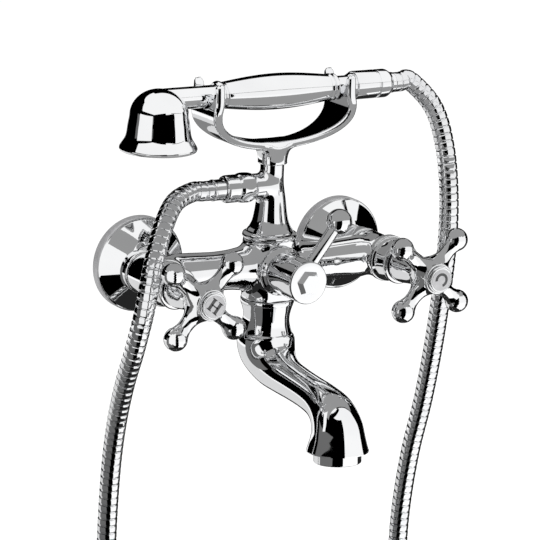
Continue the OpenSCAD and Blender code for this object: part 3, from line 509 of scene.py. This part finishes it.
# mixer body
mixerBody = {
    "halfBar": ((9.5, -83), (11.5, -78), (13.3, -71), (13.8, -66), (13.4, -57), (12.8, -47), (12.5, -40),
                (12.8, -30), (13.9, -21), (15, -14), (15.6, -8)),
    "post": ((16.6, -20.6), (17, -19.8), (16.6, -16.6), (16.1, 0), (16.4, 14.5), (17, 17.3), (16.5, 18.5)),
    "boss": ((0, 40.5), (14.6, 40.5), (14.6, 54.6), (14.2, 55), (0, 55)),
    "valveSeat": ((0, 24.4), (8.1, 24.4), (8.1, 27.7), (12.2, 27.8)),
    "valve": ((12.2, 27.8), (13, 28.3), (13.2, 29.8), (13.2, 36), (13.2, 43), (13.7, 47), (14.6, 49.3)),
    "valveMouth": ((14.7, 54.6), (14.3, 55), (0, 55)),
    "collar": ((11.2, 48.6), (13.8, 48.9, 0.5), (15, 50.6, 0.5), (15.3, 51.6, 0.5), (15.3, 55, 0.6),
               (11.2, 55)),
    "top": 18.5, "bottom": 20.6, "front": 55, "fillets": (6.5, 3, 4.5, 4.5), "voxel": 0.62,
}


def makeBody(settings):
    top, bottom = settings["top"], settings["bottom"]
    half = flatLine(settings["halfBar"], 4)
    bar = [(0, -valveX), *half, *((a, -b) for a, b in half[::-1]), (0, valveX)]
    post = [(0, -bottom), *flatLine(settings["post"], 5), (0, top)]
    valve = [*settings["valveSeat"], *flatLine(settings["valve"], 5), *settings["valveMouth"]]
    parts = [(bar, crossAxis()), (post, upAxis()), (settings["boss"], roomAxis()),
             (valve, roomAxis(-valveX)), (valve, roomAxis(valveX))]
    fields = [turnedField(outline, place) for outline, place in parts]

    def casting(spots):
        whole = fields[0](spots)
        for part, fillet in zip(fields[1:], settings["fillets"]):
            whole = melt(whole, part(spots), fillet)
        ends = np.maximum(spots[:, 2] - top, -bottom - spots[:, 2])
        return np.maximum(whole, np.maximum(-spots[:, 1] - settings["front"], ends))
    shape = joinShapes([spinShape(outline, place, 64) for outline, place in parts])
    castPiece("mixerBody", shape, casting, "mixer", settings["voxel"], ["mixer_body"])
    for side, word in sides:
        turnPiece(word + "HousingCollar", settings["collar"], roomAxis(side * valveX), "mixer")
    print("mixer body done")


makeBody(mixerBody)


# bonnets, handles and buttons
bonnet = {
    "outline": ((11, 55), (14, 55, 0.4), (14.6, 55.6, 0.5), (14.6, 56.6, 0.5), (13, 57.8, 0.3),
                (12.5, 66.9, 0.3), (13.2, 67.6, 0.4), (13.7, 68.9, 0.7), (13, 70.2, 0.5),
                (11.6, 70.5, 0.3), (7.3, 70.2, 0.2), (7.3, 68), (11, 66)),
}


def makeBonnets(settings):
    for side, word in sides:
        turnPiece(word + "Bonnet", settings["outline"], roomAxis(side * valveX), "mixer", [word + "_bonnet"])


# plain letters for hot and cold: H of two stems, a bar and serifs, C an open ring
mark = {"size": 3.7, "stem": 1.05, "spread": 0.7, "serif": 1.7, "ring": 4.6, "ringWall": 1.7, "ringFrom": 50,
        "ringTurn": 260, "proud": 0.22, "foot": 115.97, "turn": {"hot": -38, "cold": -125}}


def makeMark(word, axis, settings):
    size, stem, proud, spread = (settings[key] for key in ("size", "stem", "proud", "spread"))
    place = (axis @ Matrix.Rotation(math.radians(settings["turn"][word]), 4, "Z")
             @ Matrix.Translation((0, 0, (settings["foot"] + 0.5 * proud) * mm)))
    shape = bmesh.new()
    if word == "hot":
        xs = (-spread * size, spread * size)
        bars = [(x, 0, stem, size) for x in xs] + [(0, 0, spread * size, 0.45 * stem)]
        bars += [(x, y, settings["serif"] * stem, 0.3 * stem) for x in xs for y in (-size, size)]
        for x, y, wide, high in bars:
            bmesh.ops.create_cube(shape, size=2, matrix=place @ Matrix.Translation((x * mm, y * mm, 0))
                                  @ Matrix.Diagonal((wide * mm, high * mm, 0.5 * proud * mm, 1)))
    else:
        outer, inner = settings["ring"], settings["ring"] - settings["ringWall"]
        corners = [shape.verts.new((r * mm, 0, h * proud * mm))
                   for r, h in ((inner, -0.5), (outer, -0.5), (outer, 0.5), (inner, 0.5))]
        section = shape.faces.new(corners)
        begin = Matrix.Rotation(math.radians(settings["ringFrom"]), 3, "Z")
        bmesh.ops.rotate(shape, verts=corners, cent=(0, 0, 0), matrix=begin)
        bmesh.ops.spin(shape, geom=[*corners, *section.edges, section], cent=(0, 0, 0), axis=(0, 0, 1),
                       angle=math.radians(settings["ringTurn"]), steps=40)
        bmesh.ops.transform(shape, matrix=place, verts=shape.verts[:])
    bmesh.ops.recalc_face_normals(shape, faces=shape.faces[:])
    addPiece(word + "Mark", shape, "enamel", word + "_valve")


handle = {
    "hubRear": ((0, 72), (10.9, 72)),
    "hub": ((11.3, 72.5), (11.3, 76), (10.3, 82.5), (9.7, 88.5), (10.1, 93), (11.1, 97.5), (11.7, 102.5),
            (11.1, 107), (9.4, 110.5)),
    "hubFront": ((9.4, 111.7), (0, 111.7)),
    "arm": ((6.2, 2), (6, 8), (5.6, 12), (4.9, 16), (4.7, 19), (4.95, 21.5)),
    "plane": 102.5, "front": 111.7, "armReach": 29, "armEnd": 7.5, "armTurn": 49, "fillet": 4.2,
    "voxel": 0.46,
    "rim": ((8.4, 108.5), (9, 111.1), (9.6, 111.5, 0.2), (10, 112.1, 0.3), (10, 112.9, 0.7), (9, 113.2, 0.3),
            (8.3, 112.4)),
    "teeth": 120, "toothRadius": 8.75, "toothFoot": 0.975, "knurlFrom": 112.6, "knurlHeight": 2.2,
    "button": ((0, 109), (8.2, 109), (8.2, 115.9, 0.5), (7.6, 116, 0.15), (7.4, 115.6, 0.1),
               (7.15, 115.6, 0.1), (6.95, 116, 0.15), (0, 116.15)),
    "faceRadius": 6.9, "faceRear": 115.8,
}


def makeKnurl(axis, settings):
    knurl = bmesh.new()
    teeth = bmesh.ops.create_circle(knurl, segments=settings["teeth"],
                                    radius=settings["toothRadius"] * mm)["verts"]
    bmesh.ops.scale(knurl, verts=teeth[::2], vec=(settings["toothFoot"], settings["toothFoot"], 1))
    raised = bmesh.ops.extrude_edge_only(knurl, edges=knurl.edges[:])["geom"]
    bmesh.ops.translate(knurl, verts=vertsOf(raised), vec=(0, 0, settings["knurlHeight"] * mm))
    bmesh.ops.holes_fill(knurl, edges=knurl.edges[:])
    bmesh.ops.recalc_face_normals(knurl, faces=knurl.faces[:])
    place = axis @ Matrix.Translation((0, 0, settings["knurlFrom"] * mm))
    bmesh.ops.transform(knurl, matrix=place, verts=knurl.verts[:])
    return knurl


def makeHandles(settings):
    plane, end, far = settings["plane"], settings["armEnd"], settings["armReach"]
    hub = [*settings["hubRear"], *flatLine(settings["hub"], 6), *settings["hubFront"]]
    bulb = [(end * math.cos(a), far + end * math.sin(a)) for a in map(math.radians, range(-38, 91, 8))]
    arm = [(0, 2), *flatLine([*settings["arm"], bulb[0]], 5), *bulb[1:], (0, far + end)]
    for side, word in ((-1, "hot"), (1, "cold")):
        body, axis = word + "_valve", roomAxis(side * valveX)
        arms = [axis @ Matrix.Translation((0, 0, plane * mm))
                @ Matrix.Rotation(math.radians(settings["armTurn"] + 90 * i), 4, "Z")
                @ Matrix.Rotation(math.pi / 2, 4, "Y") for i in range(4)]
        fields = [turnedField(hub, axis)] + [turnedField(arm, place) for place in arms]

        def cross(spots, fields=fields):
            armField = np.minimum.reduce([part(spots) for part in fields[1:]])
            whole = melt(fields[0](spots), armField, settings["fillet"])
            return np.maximum(whole, -spots[:, 1] - settings["front"])
        shape = joinShapes([spinShape(hub, axis, 64)] + [spinShape(arm, place, 48) for place in arms])
        castPiece(word + "Handle", shape, cross, body, settings["voxel"], [word + "_handle"])
        turnPiece(word + "HandleRim", settings["rim"], axis, body)
        addPiece(word + "Knurl", makeKnurl(axis, settings), "polishedChrome", body, sharp=20)
        button = turnPiece(word + "Button", settings["button"], axis, body, [word + "_button"], hollow=False)
        paintFaces(button, "buttonGrey", side * valveX,
                   lambda across, out: across < settings["faceRadius"] and out > settings["faceRear"])
        makeMark(word, axis, mark)
    print("handles done")


makeBonnets(bonnet)
makeHandles(handle)


# diverter
diverter = {
    "collar": ((4.1, 38), (7.5, 38), (7.5, 55), (15, 55, 0.3), (16.1, 56, 0.8), (16, 57.6, 0.8),
               (14.2, 59, 0.5), (13.4, 60.2, 0.4), (8, 60.6), (4.1, 60.6)),
    "drum": ((4, 61), (13.8, 61, 0.6), (13.8, 87.6), (13.8, 90, 1.2), (10.4, 90)),
    "face": 90, "faceRadius": 10.4, "hexagon": 8.6, "hexagonTurn": 22, "proud": 3.7, "inset": 2.2,
    "leverTurn": 52, "leverPlane": 79.5,
    "rod": ((0, 11), (4.15, 11, 0.2), (4.15, 37.8), (3.75, 38.2), (0, 40.5)),
    "rodRadius": 4.15, "ball": 8.3, "reach": 44.5,
}


def makeBoss(drum, settings):
    face, hexagonRadius = settings["face"], settings["hexagon"]
    place = roomAxis() @ Matrix.Rotation(math.radians(settings["hexagonTurn"]), 4, "Z")
    spots = {v for v in drum.verts if abs(v.co.xz.length - settings["faceRadius"] * mm) < near
             and abs(v.co.y + face * mm) < near}
    outer = [e for e in drum.edges if e.verts[0] in spots and e.verts[1] in spots]
    hexagon = bmesh.ops.create_circle(drum, segments=6, radius=hexagonRadius * mm,
                                      matrix=place @ Matrix.Translation((0, 0, face * mm)))["verts"]
    edges = list({e for v in hexagon for e in v.link_edges})
    split = bmesh.ops.subdivide_edges(drum, edges=edges, cuts=15)["geom_split"]
    inner = list({e for e in split if isinstance(e, bmesh.types.BMEdge)} | {e for e in edges if e.is_valid})
    bmesh.ops.bridge_loops(drum, edges=outer + inner)
    lid = bmesh.ops.contextual_create(drum, geom=inner)["faces"]
    raised = vertsOf(bmesh.ops.extrude_face_region(drum, geom=lid)["geom"])
    bmesh.ops.delete(drum, geom=lid, context="FACES_ONLY")
    shrink = 1 - settings["inset"] / hexagonRadius
    bmesh.ops.translate(drum, verts=raised, vec=(0, -settings["proud"] * mm, 0))
    bmesh.ops.scale(drum, verts=raised, vec=(shrink, 1, shrink))
    bmesh.ops.recalc_face_normals(drum, faces=drum.faces[:])
    return drum


def makeDiverter(settings):
    turnPiece("diverterCollar", settings["collar"], roomAxis(), "mixer", ["diverter_bushing"])
    drum = makeBoss(spinShape(settings["drum"], roomAxis(), 96), settings)
    addPiece("diverterDrum", drum, "polishedChrome", "diverter", ["diverter_drum"])
    lever = (roomAxis() @ Matrix.Rotation(math.radians(settings["leverTurn"]), 4, "Z")
             @ Matrix.Translation((0, 0, settings["leverPlane"] * mm)) @ Matrix.Rotation(math.pi / 2, 4, "Y"))
    turnPiece("leverRod", settings["rod"], lever, "diverter", ["lever_rod"], 64, hollow=False)
    rod, ball, far = settings["rodRadius"], settings["ball"], settings["reach"]
    start = math.asin((rod + 0.6) / ball)
    bead = [(ball * math.sin(a), far - ball * math.cos(a)) for a in np.linspace(start, math.pi, 40)[:-1]]
    low = bead[0][1]
    outline = [(0, low + 0.5), (rod, low + 0.4), (rod + 0.2, low - 0.2, 0.1), *bead, (0, far + ball)]
    turnPiece("leverBall", outline, lever, "diverter", ["lever_ball"], 64, hollow=False)
    print("diverter done")


makeDiverter(diverter)


# riser column with its hose branch
column = {
    "foot": ((0, 18.5), (16, 18.5)),
    "post": ((16.9, 18.8), (17.8, 20.4), (17.2, 22), (15.4, 22.8), (14.9, 23.9), (13.3, 26.3), (11.7, 30.3),
             (10.5, 36.5), (9.6, 43.5), (8.6, 49.5), (7.9, 54.5), (7.7, 58.5)),
    "spigot": ((7.7, 67.3), (0, 67.3)),
    "arm": ((0, 0), (8.25, 0), (8.25, 14.4), (7.65, 15), (0, 15)),
    "branch": 53, "fillet": 3.2, "voxel": 0.45,
    "nutCorner": 10.25, "nutMiddle": 25.5, "nutLength": 21,
    "barrelRear": ((0, 15), (8.3, 15)), "barrelFront": ((8.3, 26.4), (0, 26.4)),
    "barrel": ((8.5, 15.2), (9.3, 16.6), (9.75, 18.6), (9.9, 20.6), (9.75, 22.6), (9.3, 24.6), (8.5, 26)),
    "collar": ((7, 26.1), (8.2, 26.1, 0.2), (8.9, 26.9, 0.4), (8.9, 34.4, 0.8), (8.3, 35.6, 0.4), (7, 36)),
    "ferrule": ((4.1, 36), (6.7, 36, 0.2), (6.7, 42.6, 0.2), (6.95, 43, 0.2), (6.95, 44.1, 0.3),
                (6.4, 44.5, 0.2), (4.1, 44.5)),
}


def makeColumn(settings):
    side = branchAxis(settings["branch"])
    post = [*settings["foot"], *flatLine(settings["post"], 6), *settings["spigot"]]
    postField, armField = turnedField(post, upAxis()), turnedField(settings["arm"], side)

    def riser(spots):
        return melt(postField(spots), armField(spots), settings["fillet"])
    shape = joinShapes([spinShape(post, upAxis(), 64), spinShape(settings["arm"], side, 64)])
    castPiece("riserColumn", shape, riser, "mixer", settings["voxel"], ["riser_column"])
    hexagon, corner = bmesh.new(), settings["nutCorner"] * mm
    bmesh.ops.create_cone(hexagon, cap_ends=True, segments=6, radius1=corner, radius2=corner,
                          depth=settings["nutLength"] * mm,
                          matrix=side @ Matrix.Translation((0, 0, settings["nutMiddle"] * mm)))
    barrel = [*settings["barrelRear"], *flatLine(settings["barrel"], 4), *settings["barrelFront"]]
    nut = cutShape(hexagon, spinShape(barrel, side, 128), "INTERSECT")     # its corners are turned off round
    nut = joinShapes([nut, spinShape(settings["collar"], side, 96, hollow=True)])
    addPiece("hoseNut", nut, "polishedChrome", "mixer", ["hose_nut"], sharp=12)
    turnPiece("branchFerrule", settings["ferrule"], side, "mixer", ["branch_ferrule"])
    print("column done")


makeColumn(column)


# cradle
cradle = {
    # x, z, half width and half thickness of the band, from the left lugs' tips to the middle
    "stations": ((-48.2, 122.5, 15.2, 2.4), (-48.2, 120.6, 16, 3.1), (-48.2, 110.7, 16.4, 3.2),
                 (-49.4, 104, 16.4, 3.1), (-48.2, 97.5, 15.6, 2.9), (-44, 92, 14, 2.7),
                 (-36.5, 87, 11.6, 2.6), (-26, 83, 9.2, 2.5), (-13, 80.4, 7.4, 2.6), (0, 79.6, 7, 2.8)),
    "socketFoot": ((0, 67.3), (9, 67.3), (9.5, 67.8)), "socketTop": ((0, 78.3),),
    "socket": ((9.5, 68.3), (9.5, 73.3), (9.1, 75.3), (8.3, 78.3)),
    "cup": 11, "saddle": 117.4, "flare": 2.2, "flareFrom": 0.5, "flareRun": 5,
    "edge": 0.8, "fillet": 7, "cupEdge": 1.6, "voxel": 0.5, "cutLength": 160, "cutHeight": 40,
}


def bandShape(line):
    shape, previous, across = bmesh.new(), None, Vector((0, 1, 0))
    for i, (x, z, w, t) in enumerate(line[::2]):
        before, after = line[max(2 * i - 1, 0)], line[min(2 * i + 1, len(line) - 1)]
        way = Vector((after[0] - before[0], 0, after[1] - before[1])).normalized()
        turn = Matrix((across, way.cross(across), way)).transposed().to_4x4()
        place = Matrix.Translation(Vector((x, -reach, z)) * mm) @ turn
        ring = bmesh.ops.create_circle(shape, segments=24, radius=1,
                                       matrix=place @ Matrix.Diagonal((w * mm, t * mm, 1, 1)))["verts"]
        loop = list({e for v in ring for e in v.link_edges})
        if previous:
            bmesh.ops.bridge_loops(shape, edges=previous + loop)
        else:
            bmesh.ops.contextual_create(shape, geom=loop)
        previous = loop
    bmesh.ops.contextual_create(shape, geom=previous)
    bmesh.ops.recalc_face_normals(shape, faces=shape.faces[:])
    return shape


def makeCradle(settings):
    runs = [smoothLine([[station[i] for i in keys] for station in settings["stations"]], 8)
            for keys in ((0, 1, 2), (0, 2, 3))]
    line = [(a[0], a[1], b[1], b[2]) for a, b in zip(*runs)]
    line = np.array(line + [(-x, z, w, t) for x, z, w, t in line[-2::-1]])
    socket = [*settings["socketFoot"], *flatLine(settings["socket"], 4), *settings["socketTop"]]
    socketField = turnedField(socket, upAxis())
    cup, saddle = settings["cup"], settings["saddle"]

    def bandField(spots):
        nearest = np.full(len(spots), 1e18)
        wide, thick = np.zeros(len(spots)), np.zeros(len(spots))
        x, z = spots[:, 0], spots[:, 2]
        for a, b in zip(line, line[1:]):
            dx, dz = b[0] - a[0], b[1] - a[1]
            t = np.clip(((x - a[0]) * dx + (z - a[1]) * dz) / (dx * dx + dz * dz), 0, 1)
            far = np.hypot(x - a[0] - t * dx, z - a[1] - t * dz)
            closer = far < nearest
            nearest = np.where(closer, far, nearest)
            wide = np.where(closer, a[2] + t * (b[2] - a[2]), wide)
            thick = np.where(closer, a[3] + t * (b[3] - a[3]), thick)
        soft = thick * settings["edge"]
        across, along = nearest - thick + soft, np.abs(spots[:, 1] + reach) - wide + soft
        outside = np.hypot(np.maximum(across, 0), np.maximum(along, 0))
        return outside + np.minimum(np.maximum(across, along), 0) - soft

    def cupField(spots):
        y, z = spots[:, 1] + reach, spots[:, 2] - saddle
        flare = settings["flare"] * np.clip((z - settings["flareFrom"]) / settings["flareRun"], 0, 1) ** 2
        return np.where(z < 0, np.hypot(y, z), np.abs(y)) - cup - flare      # the flare rounds the lugs' tips

    def whole(spots):
        band = melt(bandField(spots), socketField(spots), settings["fillet"])
        return carve(band, cupField(spots), settings["cupEdge"])
    roundCut, squareCut = bmesh.new(), bmesh.new()
    length, high = settings["cutLength"] * mm, settings["cutHeight"] * mm
    bmesh.ops.create_cone(roundCut, cap_ends=True, segments=64, radius1=cup * mm, radius2=cup * mm,
                          depth=length, matrix=crossAxis(saddle))
    bmesh.ops.create_cube(squareCut, size=1, matrix=upAxis(0, saddle + 0.5 * settings["cutHeight"])
                          @ Matrix.Diagonal((length, 2 * cup * mm, high, 1)))
    shape = cutShape(cutShape(bandShape(line), roundCut, "DIFFERENCE"), squareCut, "DIFFERENCE")
    shape = joinShapes([shape, spinShape(socket, upAxis(), 64)])
    castPiece("cradleYoke", shape, whole, "mixer", settings["voxel"], ["cradle"])
    print("cradle done")


makeCradle(cradle)


# hand shower
handShower = {
    "bellX": 83.4, "domeFoot": 104, "domeRadius": 18.5, "domeHeight": 16.7, "wall": 1.6,
    "outside": ((24, 82.3), (24.5, 83.3), (24.2, 84.5), (22.9, 86.6), (21.1, 89.6), (20.1, 93),
                (19.5, 98), (18.8, 102), (18.5, 104)),
    "inside": ((22.3, 82.4), (22.3, 86), (19.3, 89.8), (18.4, 93), (17.9, 98), (16.9, 104)),
    "lip": ((22.6, 82), (23.5, 82)),
    "gripEnd": 8.5, "gripSwell": 3, "gripHalf": 38,
    # heights run to the right along the hand shower's axis
    "neck": ((5, -79.4), (7, -79.4), (7, -44.45, 0.2), (5, -44.45)),
    "front": ((3, -44.45), (8.1, -44.45, 0.2),
              *flatLine(((8.3, -43.85), (9.1, -42.85), (9.3, -41.85), (9, -40.65), (8, -39.65)), 4),
              (7.7, -38.6), (7.7, -38), (3, -38)),
    "rear": ((3, 38), (7.7, 38, 0.2),
             *flatLine(((8.1, 38.3), (8.9, 39.6), (8.1, 40.8), (7.3, 41.3), (8.1, 41.9), (8.7, 43),
                        (8.1, 44)), 5),
             (3, 44.45)),
    "tail": ((3, 44.45), (6.8, 44.45), (6.8, 52.95, 0.4), (8.1, 55.6, 0.3), (8.2, 57.2, 0.2),
             (7.2, 57.2), (7.2, 69.2), (3, 69.2)),
    "nut": ((7.3, 57.2), (9.25, 57.2, 0.6), (9.25, 73.3, 0.3), (8.35, 73.7, 0.2), (8.35, 74.7, 0.2),
            (9.25, 75.1, 0.3), (9.25, 81.8, 1), (7.1, 85.2, 0.3), (4.4, 85.2), (4.4, 71.2), (7.3, 71.2)),
    "ferrule": ((4.1, 85.2), (6.7, 85.2), (6.7, 87.8, 0.3), (6.2, 88.2, 0.2), (4.1, 88.2)),
}


def makeHandShower(settings):
    foot, r, high, wall = (settings[key] for key in ("domeFoot", "domeRadius", "domeHeight", "wall"))
    dome, hollow = ([((r - thick) * math.cos(a), foot + (high - thick) * math.sin(a))
                     for a in map(math.radians, range(4, 90, step))] for thick, step in ((0, 4), (wall, 6)))
    bell = [*flatLine(settings["outside"], 5), *dome, (0, foot + high), (0, foot + high - wall),
            *hollow[::-1], *flatLine(settings["inside"], 3)[::-1], *settings["lip"]]
    turnPiece("showerBell", bell, upAxis(-settings["bellX"]), "handset", ["shower_bell"], 128, sharp=50)
    end, swell, half = settings["gripEnd"], settings["gripSwell"], settings["gripHalf"]
    middle = [(end + swell * math.cos(math.pi * x / (2 * half)), x)
              for x in np.linspace(0.4 - half, half - 0.4, 48)]
    grip = [(3, -half), (end - 0.3, -half, 0.2), *middle, (end - 0.3, half, 0.2), (3, half)]
    outlines = dict(settings, grip=grip)
    for name, node, key in (("showerNeck", "shower_neck", "neck"), ("frontCollar", "front_collar", "front"),
                            ("showerGrip", "grip", "grip"), ("rearCollar", "rear_collar", "rear"),
                            ("showerTail", "shower_tail", "tail"), ("handsetNut", "handset_nut", "nut"),
                            ("handsetFerrule", "handset_ferrule", "ferrule")):
        turnPiece(name, outlines[key], crossAxis(showerZ), "handset", [node])
    print("hand shower done")


makeHandShower(handShower)


# bath spout
spout = {
    # y, z and radius along the swan's neck
    "stations": ((-40.5, -24, 17.2), (-40.5, -28, 15.8), (-40.3, -34, 14.9), (-39.6, -41, 16.4),
                 (-40, -48, 18.6), (-44, -56, 18.2), (-53, -63, 15.2), (-66, -66.6, 12.6),
                 (-82, -68.2, 11.6), (-98, -69.6, 11.5), (-112, -71.6, 12.4), (-123.5, -76, 14.6),
                 (-129.5, -83, 16.2), (-131.3, -89.5, 17.4), (-131.8, -97.5, 19.6)),
    # radius and drop below the last station, round the lip and into the mouth
    "mouth": ((19.65, -0.2), (19.5, 0.25), (19.1, 0.55), (18.6, 0.6), (16.2, 0.6), (15.4, 0.5), (15.15, 0.1),
              (15.1, -0.6), (15.1, -5)),
    "tilt": 4,
    "flange": ((9, -20.9), (17.3, -20.9, 0.4), (17.4, -23.1, 0.4), (16.9, -24.4, 0.3), (9, -24.4)),
    "aerator": ((12.8, 3.9), (15, 3.9), (15, -7.5, 0.8), (13.4, -7.5, 0.3), (12.2, -6.3, 0.4),
                (11.6, -5.5, 0.3), (11.6, -4.5), (12.8, -4.5)),
}


def makeSpout(settings):
    line = smoothLine(settings["stations"], 5)
    rings = []
    for i, (y, z, r) in enumerate(line):
        before, after = line[max(i - 1, 0)], line[min(i + 1, len(line) - 1)]
        rings.append(((0, y, z), (0, after[0] - before[0], after[1] - before[1]), r))
    tilt = math.radians(settings["tilt"])
    down, mouth = Vector((0, -math.sin(tilt), -math.cos(tilt))), Vector((0, *settings["stations"][-1][:2]))
    rings += [(tuple(mouth + down * drop), tuple(down), radius) for radius, drop in settings["mouth"]]
    addPiece("bathSpout", ringLoft(rings, 96), "castChrome", "mixer", ["bath_spout"], sharp=50)
    turnPiece("spoutFlange", settings["flange"], upAxis(), "mixer")
    outlet = Matrix.Translation(mouth * mm) @ Matrix.Rotation(-tilt, 4, "X")
    turnPiece("aeratorHousing", settings["aerator"], outlet, "mixer", ["aerator_housing"])
    print("spout done")


makeSpout(spout)


# CAD nodes that stay, with their own finish
keptNodes = {
    "brass": ("hot_headwork", "cold_headwork", "hot_spindle", "cold_spindle", "hot_screw", "cold_screw",
              "diverter_spindle"),
    "rubber": ("union_washers", "gland_rings", "column_seal", "branch_washer", "tail_washer", "spout_seal"),
    "darkSteel": ("cradle_screw",),
    "plastic": ("aerator_insert",),
    "polishedChrome": ("spray_plate",),
}
for finish, names in keptNodes.items():
    for name in names:
        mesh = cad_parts[name].data
        mesh.materials.clear()
        mesh.materials.append(finishes[finish])


# studio
showerCentre = (-0.083, -0.04, 0)
studio = {
    "floorZ": -0.462, "floorSize": 6, "floorGrey": 0.8, "floorShown": 0.42, "worldLight": 0.75,
    # curved cards on their edge: start and end in degrees from the front of the wall, + to the right,
    # lower and upper height, distance from the centre, brightness
    "walls": {
        "leftGreyCard": ((-118, -50), (-0.46, 0.36), 2.2, 0.15),
        "leftTopCard": ((-118, -50), (0.36, 2.5), 2.2, 0),
        "leftBackCard": ((-192, -118), (-0.46, 2.4), 2.2, 0),
        "frontCard": ((-50, -4), (-0.46, 2.5), 2.2, 0),
        "rightEdgeCard": ((74, 125), (-0.46, 2.6), 2.2, 0),
        "backCard": ((125, 168), (-0.25, 3.2), 2.2, 0),
        "bellBlockCard": ((-30, 30), (0.086, 0.16), 0.18, 0, showerCentre),
        "bellStripCard": ((-105, -52), (0.088, 0.135), 0.18, 1, showerCentre),
        "roseCard": ((-48, -14), (-0.06, 0.085), 0.13, 1, (-0.09, -0.012, 0)),
    },
    # low cards over the floor: start and end in degrees, inner and outer radius, height, brightness
    "sectors": {
        "frontSector": ((-50, -4), (0.15, 2.2), -0.45, 0),
        "leftSector": ((-118, -50), (0.24, 2.2), -0.45, 0.15),
        "leftBackSector": ((-192, -118), (0.3, 1.5), -0.45, 0.75),
        "rightSector": ((74, 168), (0.1, 2.2), -0.45, 0.02),
        "lowSector": ((-180, 180), (0.01, 0.3), -0.44, 0.02),
    },
    # small cards between and over the body and the hand shower: x, y, height, brightness
    "flats": {
        "bodyCard": ((-0.2, 0.09), (-0.17, -0.055), 0.068, 0.33),
        "valveCard": ((0.09, 0.2), (-0.17, -0.07), 0.068, 0.33),
        "behindCard": ((-0.07, 0.2), (0, 0.2), 0.068, 0.25),
        "handsetCard": ((-0.25, 0.3), (-0.19, -0.012), 0.17, 1),
        "handsetLine": ((-0.03, 0.3), (-0.205, -0.19), 0.165, 0),
    },
    # place, size, watts
    "lamps": {
        "topLight": ((-0.3, -0.5, 1.9), (1.6, 1.6), 14),
        "leftLight": ((-1.7, -0.35, 0.3), (0.7, 1.3), 6),
    },
}


def glowMaterial(name, grey):
    material = bpy.data.materials.new(name)
    material.use_nodes = True
    tree = material.node_tree
    tree.nodes.clear()
    out = tree.nodes.new("ShaderNodeOutputMaterial")
    glow = tree.nodes.new("ShaderNodeEmission")
    glow.inputs["Color"].default_value = (grey, grey, grey, 1)
    tree.links.new(glow.outputs[0], out.inputs["Surface"])
    return material


def addMath(tree, operation, first, second):
    node = tree.nodes.new("ShaderNodeMath")
    node.operation = operation
    for socket, value in zip(node.inputs, (first, second)):
        if isinstance(value, (int, float)):
            socket.default_value = value
        else:
            tree.links.new(value, socket)
    return node.outputs[0]


def seenRays(tree):              # rays of the camera and of metal and glass
    path = tree.nodes.new("ShaderNodeLightPath")
    seen = path.outputs["Is Camera Ray"]
    for word in ("Is Glossy Ray", "Is Transmission Ray"):
        seen = addMath(tree, "MAXIMUM", seen, path.outputs[word])
    return seen


def floorMaterial(grey, shown):
    material = glowMaterial("studioFloor", 1.0)
    tree = material.node_tree
    glow, out = tree.nodes["Emission"], tree.nodes["Material Output"]
    matte = tree.nodes.new("ShaderNodeBsdfDiffuse")
    matte.inputs["Color"].default_value = (grey, grey, grey, 1)
    tree.links.new(addMath(tree, "MULTIPLY", seenRays(tree), shown), glow.inputs["Strength"])
    both = tree.nodes.new("ShaderNodeAddShader")
    tree.links.new(matte.outputs[0], both.inputs[0])
    tree.links.new(glow.outputs[0], both.inputs[1])
    tree.links.new(both.outputs[0], out.inputs["Surface"])
    return material


def stageObject(name, shape, material, card=True):
    thing = newObject(name, shape)
    thing.data.materials.append(material)
    if card:                     # a card shows in the metal only
        thing.visible_camera = thing.visible_diffuse = thing.visible_shadow = False


def sweepCard(name, points, turn, grey, centre=(0, 0, 0)):
    panel = bmesh.new()
    ends = [panel.verts.new(point) for point in points]
    edge = panel.edges.new(ends)
    start, stop = (math.radians(angle) for angle in turn)
    bmesh.ops.rotate(panel, verts=ends, cent=(0, 0, 0), matrix=Matrix.Rotation(start, 3, "Z"))
    bmesh.ops.spin(panel, geom=[*ends, edge], cent=(0, 0, 0), axis=(0, 0, 1), angle=stop - start, steps=32)
    bmesh.ops.translate(panel, verts=panel.verts[:], vec=centre)
    stageObject(name, panel, glowMaterial(name, grey))


def flatPanel(place, size):
    panel = bmesh.new()
    bmesh.ops.create_grid(panel, x_segments=1, y_segments=1, size=0.5,
                          matrix=Matrix.Translation(place) @ Matrix.Diagonal((*size, 1, 1)))
    return panel


def makeLamp(name, place, size, power):
    data = bpy.data.lights.new(name, "AREA")
    data.shape = "RECTANGLE"
    data.size, data.size_y = size
    data.energy = power
    light = bpy.data.objects.new(name, data)
    light.visible_glossy = False
    aim = (-Vector(place)).to_track_quat("-Z", "Y").to_matrix().to_4x4()
    light.matrix_world = Matrix.Translation(place) @ aim
    scene.collection.objects.link(light)


def makeStudio(settings):
    floor = flatPanel((0, 0, settings["floorZ"]), [2 * settings["floorSize"]] * 2)
    stageObject("studioFloor", floor, floorMaterial(settings["floorGrey"], settings["floorShown"]),
                card=False)
    for name, (turn, heights, away, grey, *centre) in settings["walls"].items():
        sweepCard(name, [(0, -away, z) for z in heights], turn, grey, *centre)
    for name, (turn, radii, height, grey) in settings["sectors"].items():
        sweepCard(name, [(0, -r, height) for r in radii], turn, grey)
    for name, ((x0, x1), (y0, y1), height, grey) in settings["flats"].items():
        panel = flatPanel(((x0 + x1) / 2, (y0 + y1) / 2, height), (x1 - x0, y1 - y0))
        stageObject(name, panel, glowMaterial(name, grey))
    for name, lamp in settings["lamps"].items():
        makeLamp(name, *lamp)
    world = bpy.data.worlds.new("studioWorld")
    scene.world = world
    world.use_nodes = True
    tree = world.node_tree
    level = addMath(tree, "MULTIPLY_ADD", seenRays(tree), 1 - settings["worldLight"])
    level.node.inputs[2].default_value = settings["worldLight"]
    tree.links.new(level, tree.nodes["Background"].inputs["Strength"])
    tree.nodes["Background"].inputs["Color"].default_value = (1, 1, 1, 1)
    print("studio done")


makeStudio(studio)
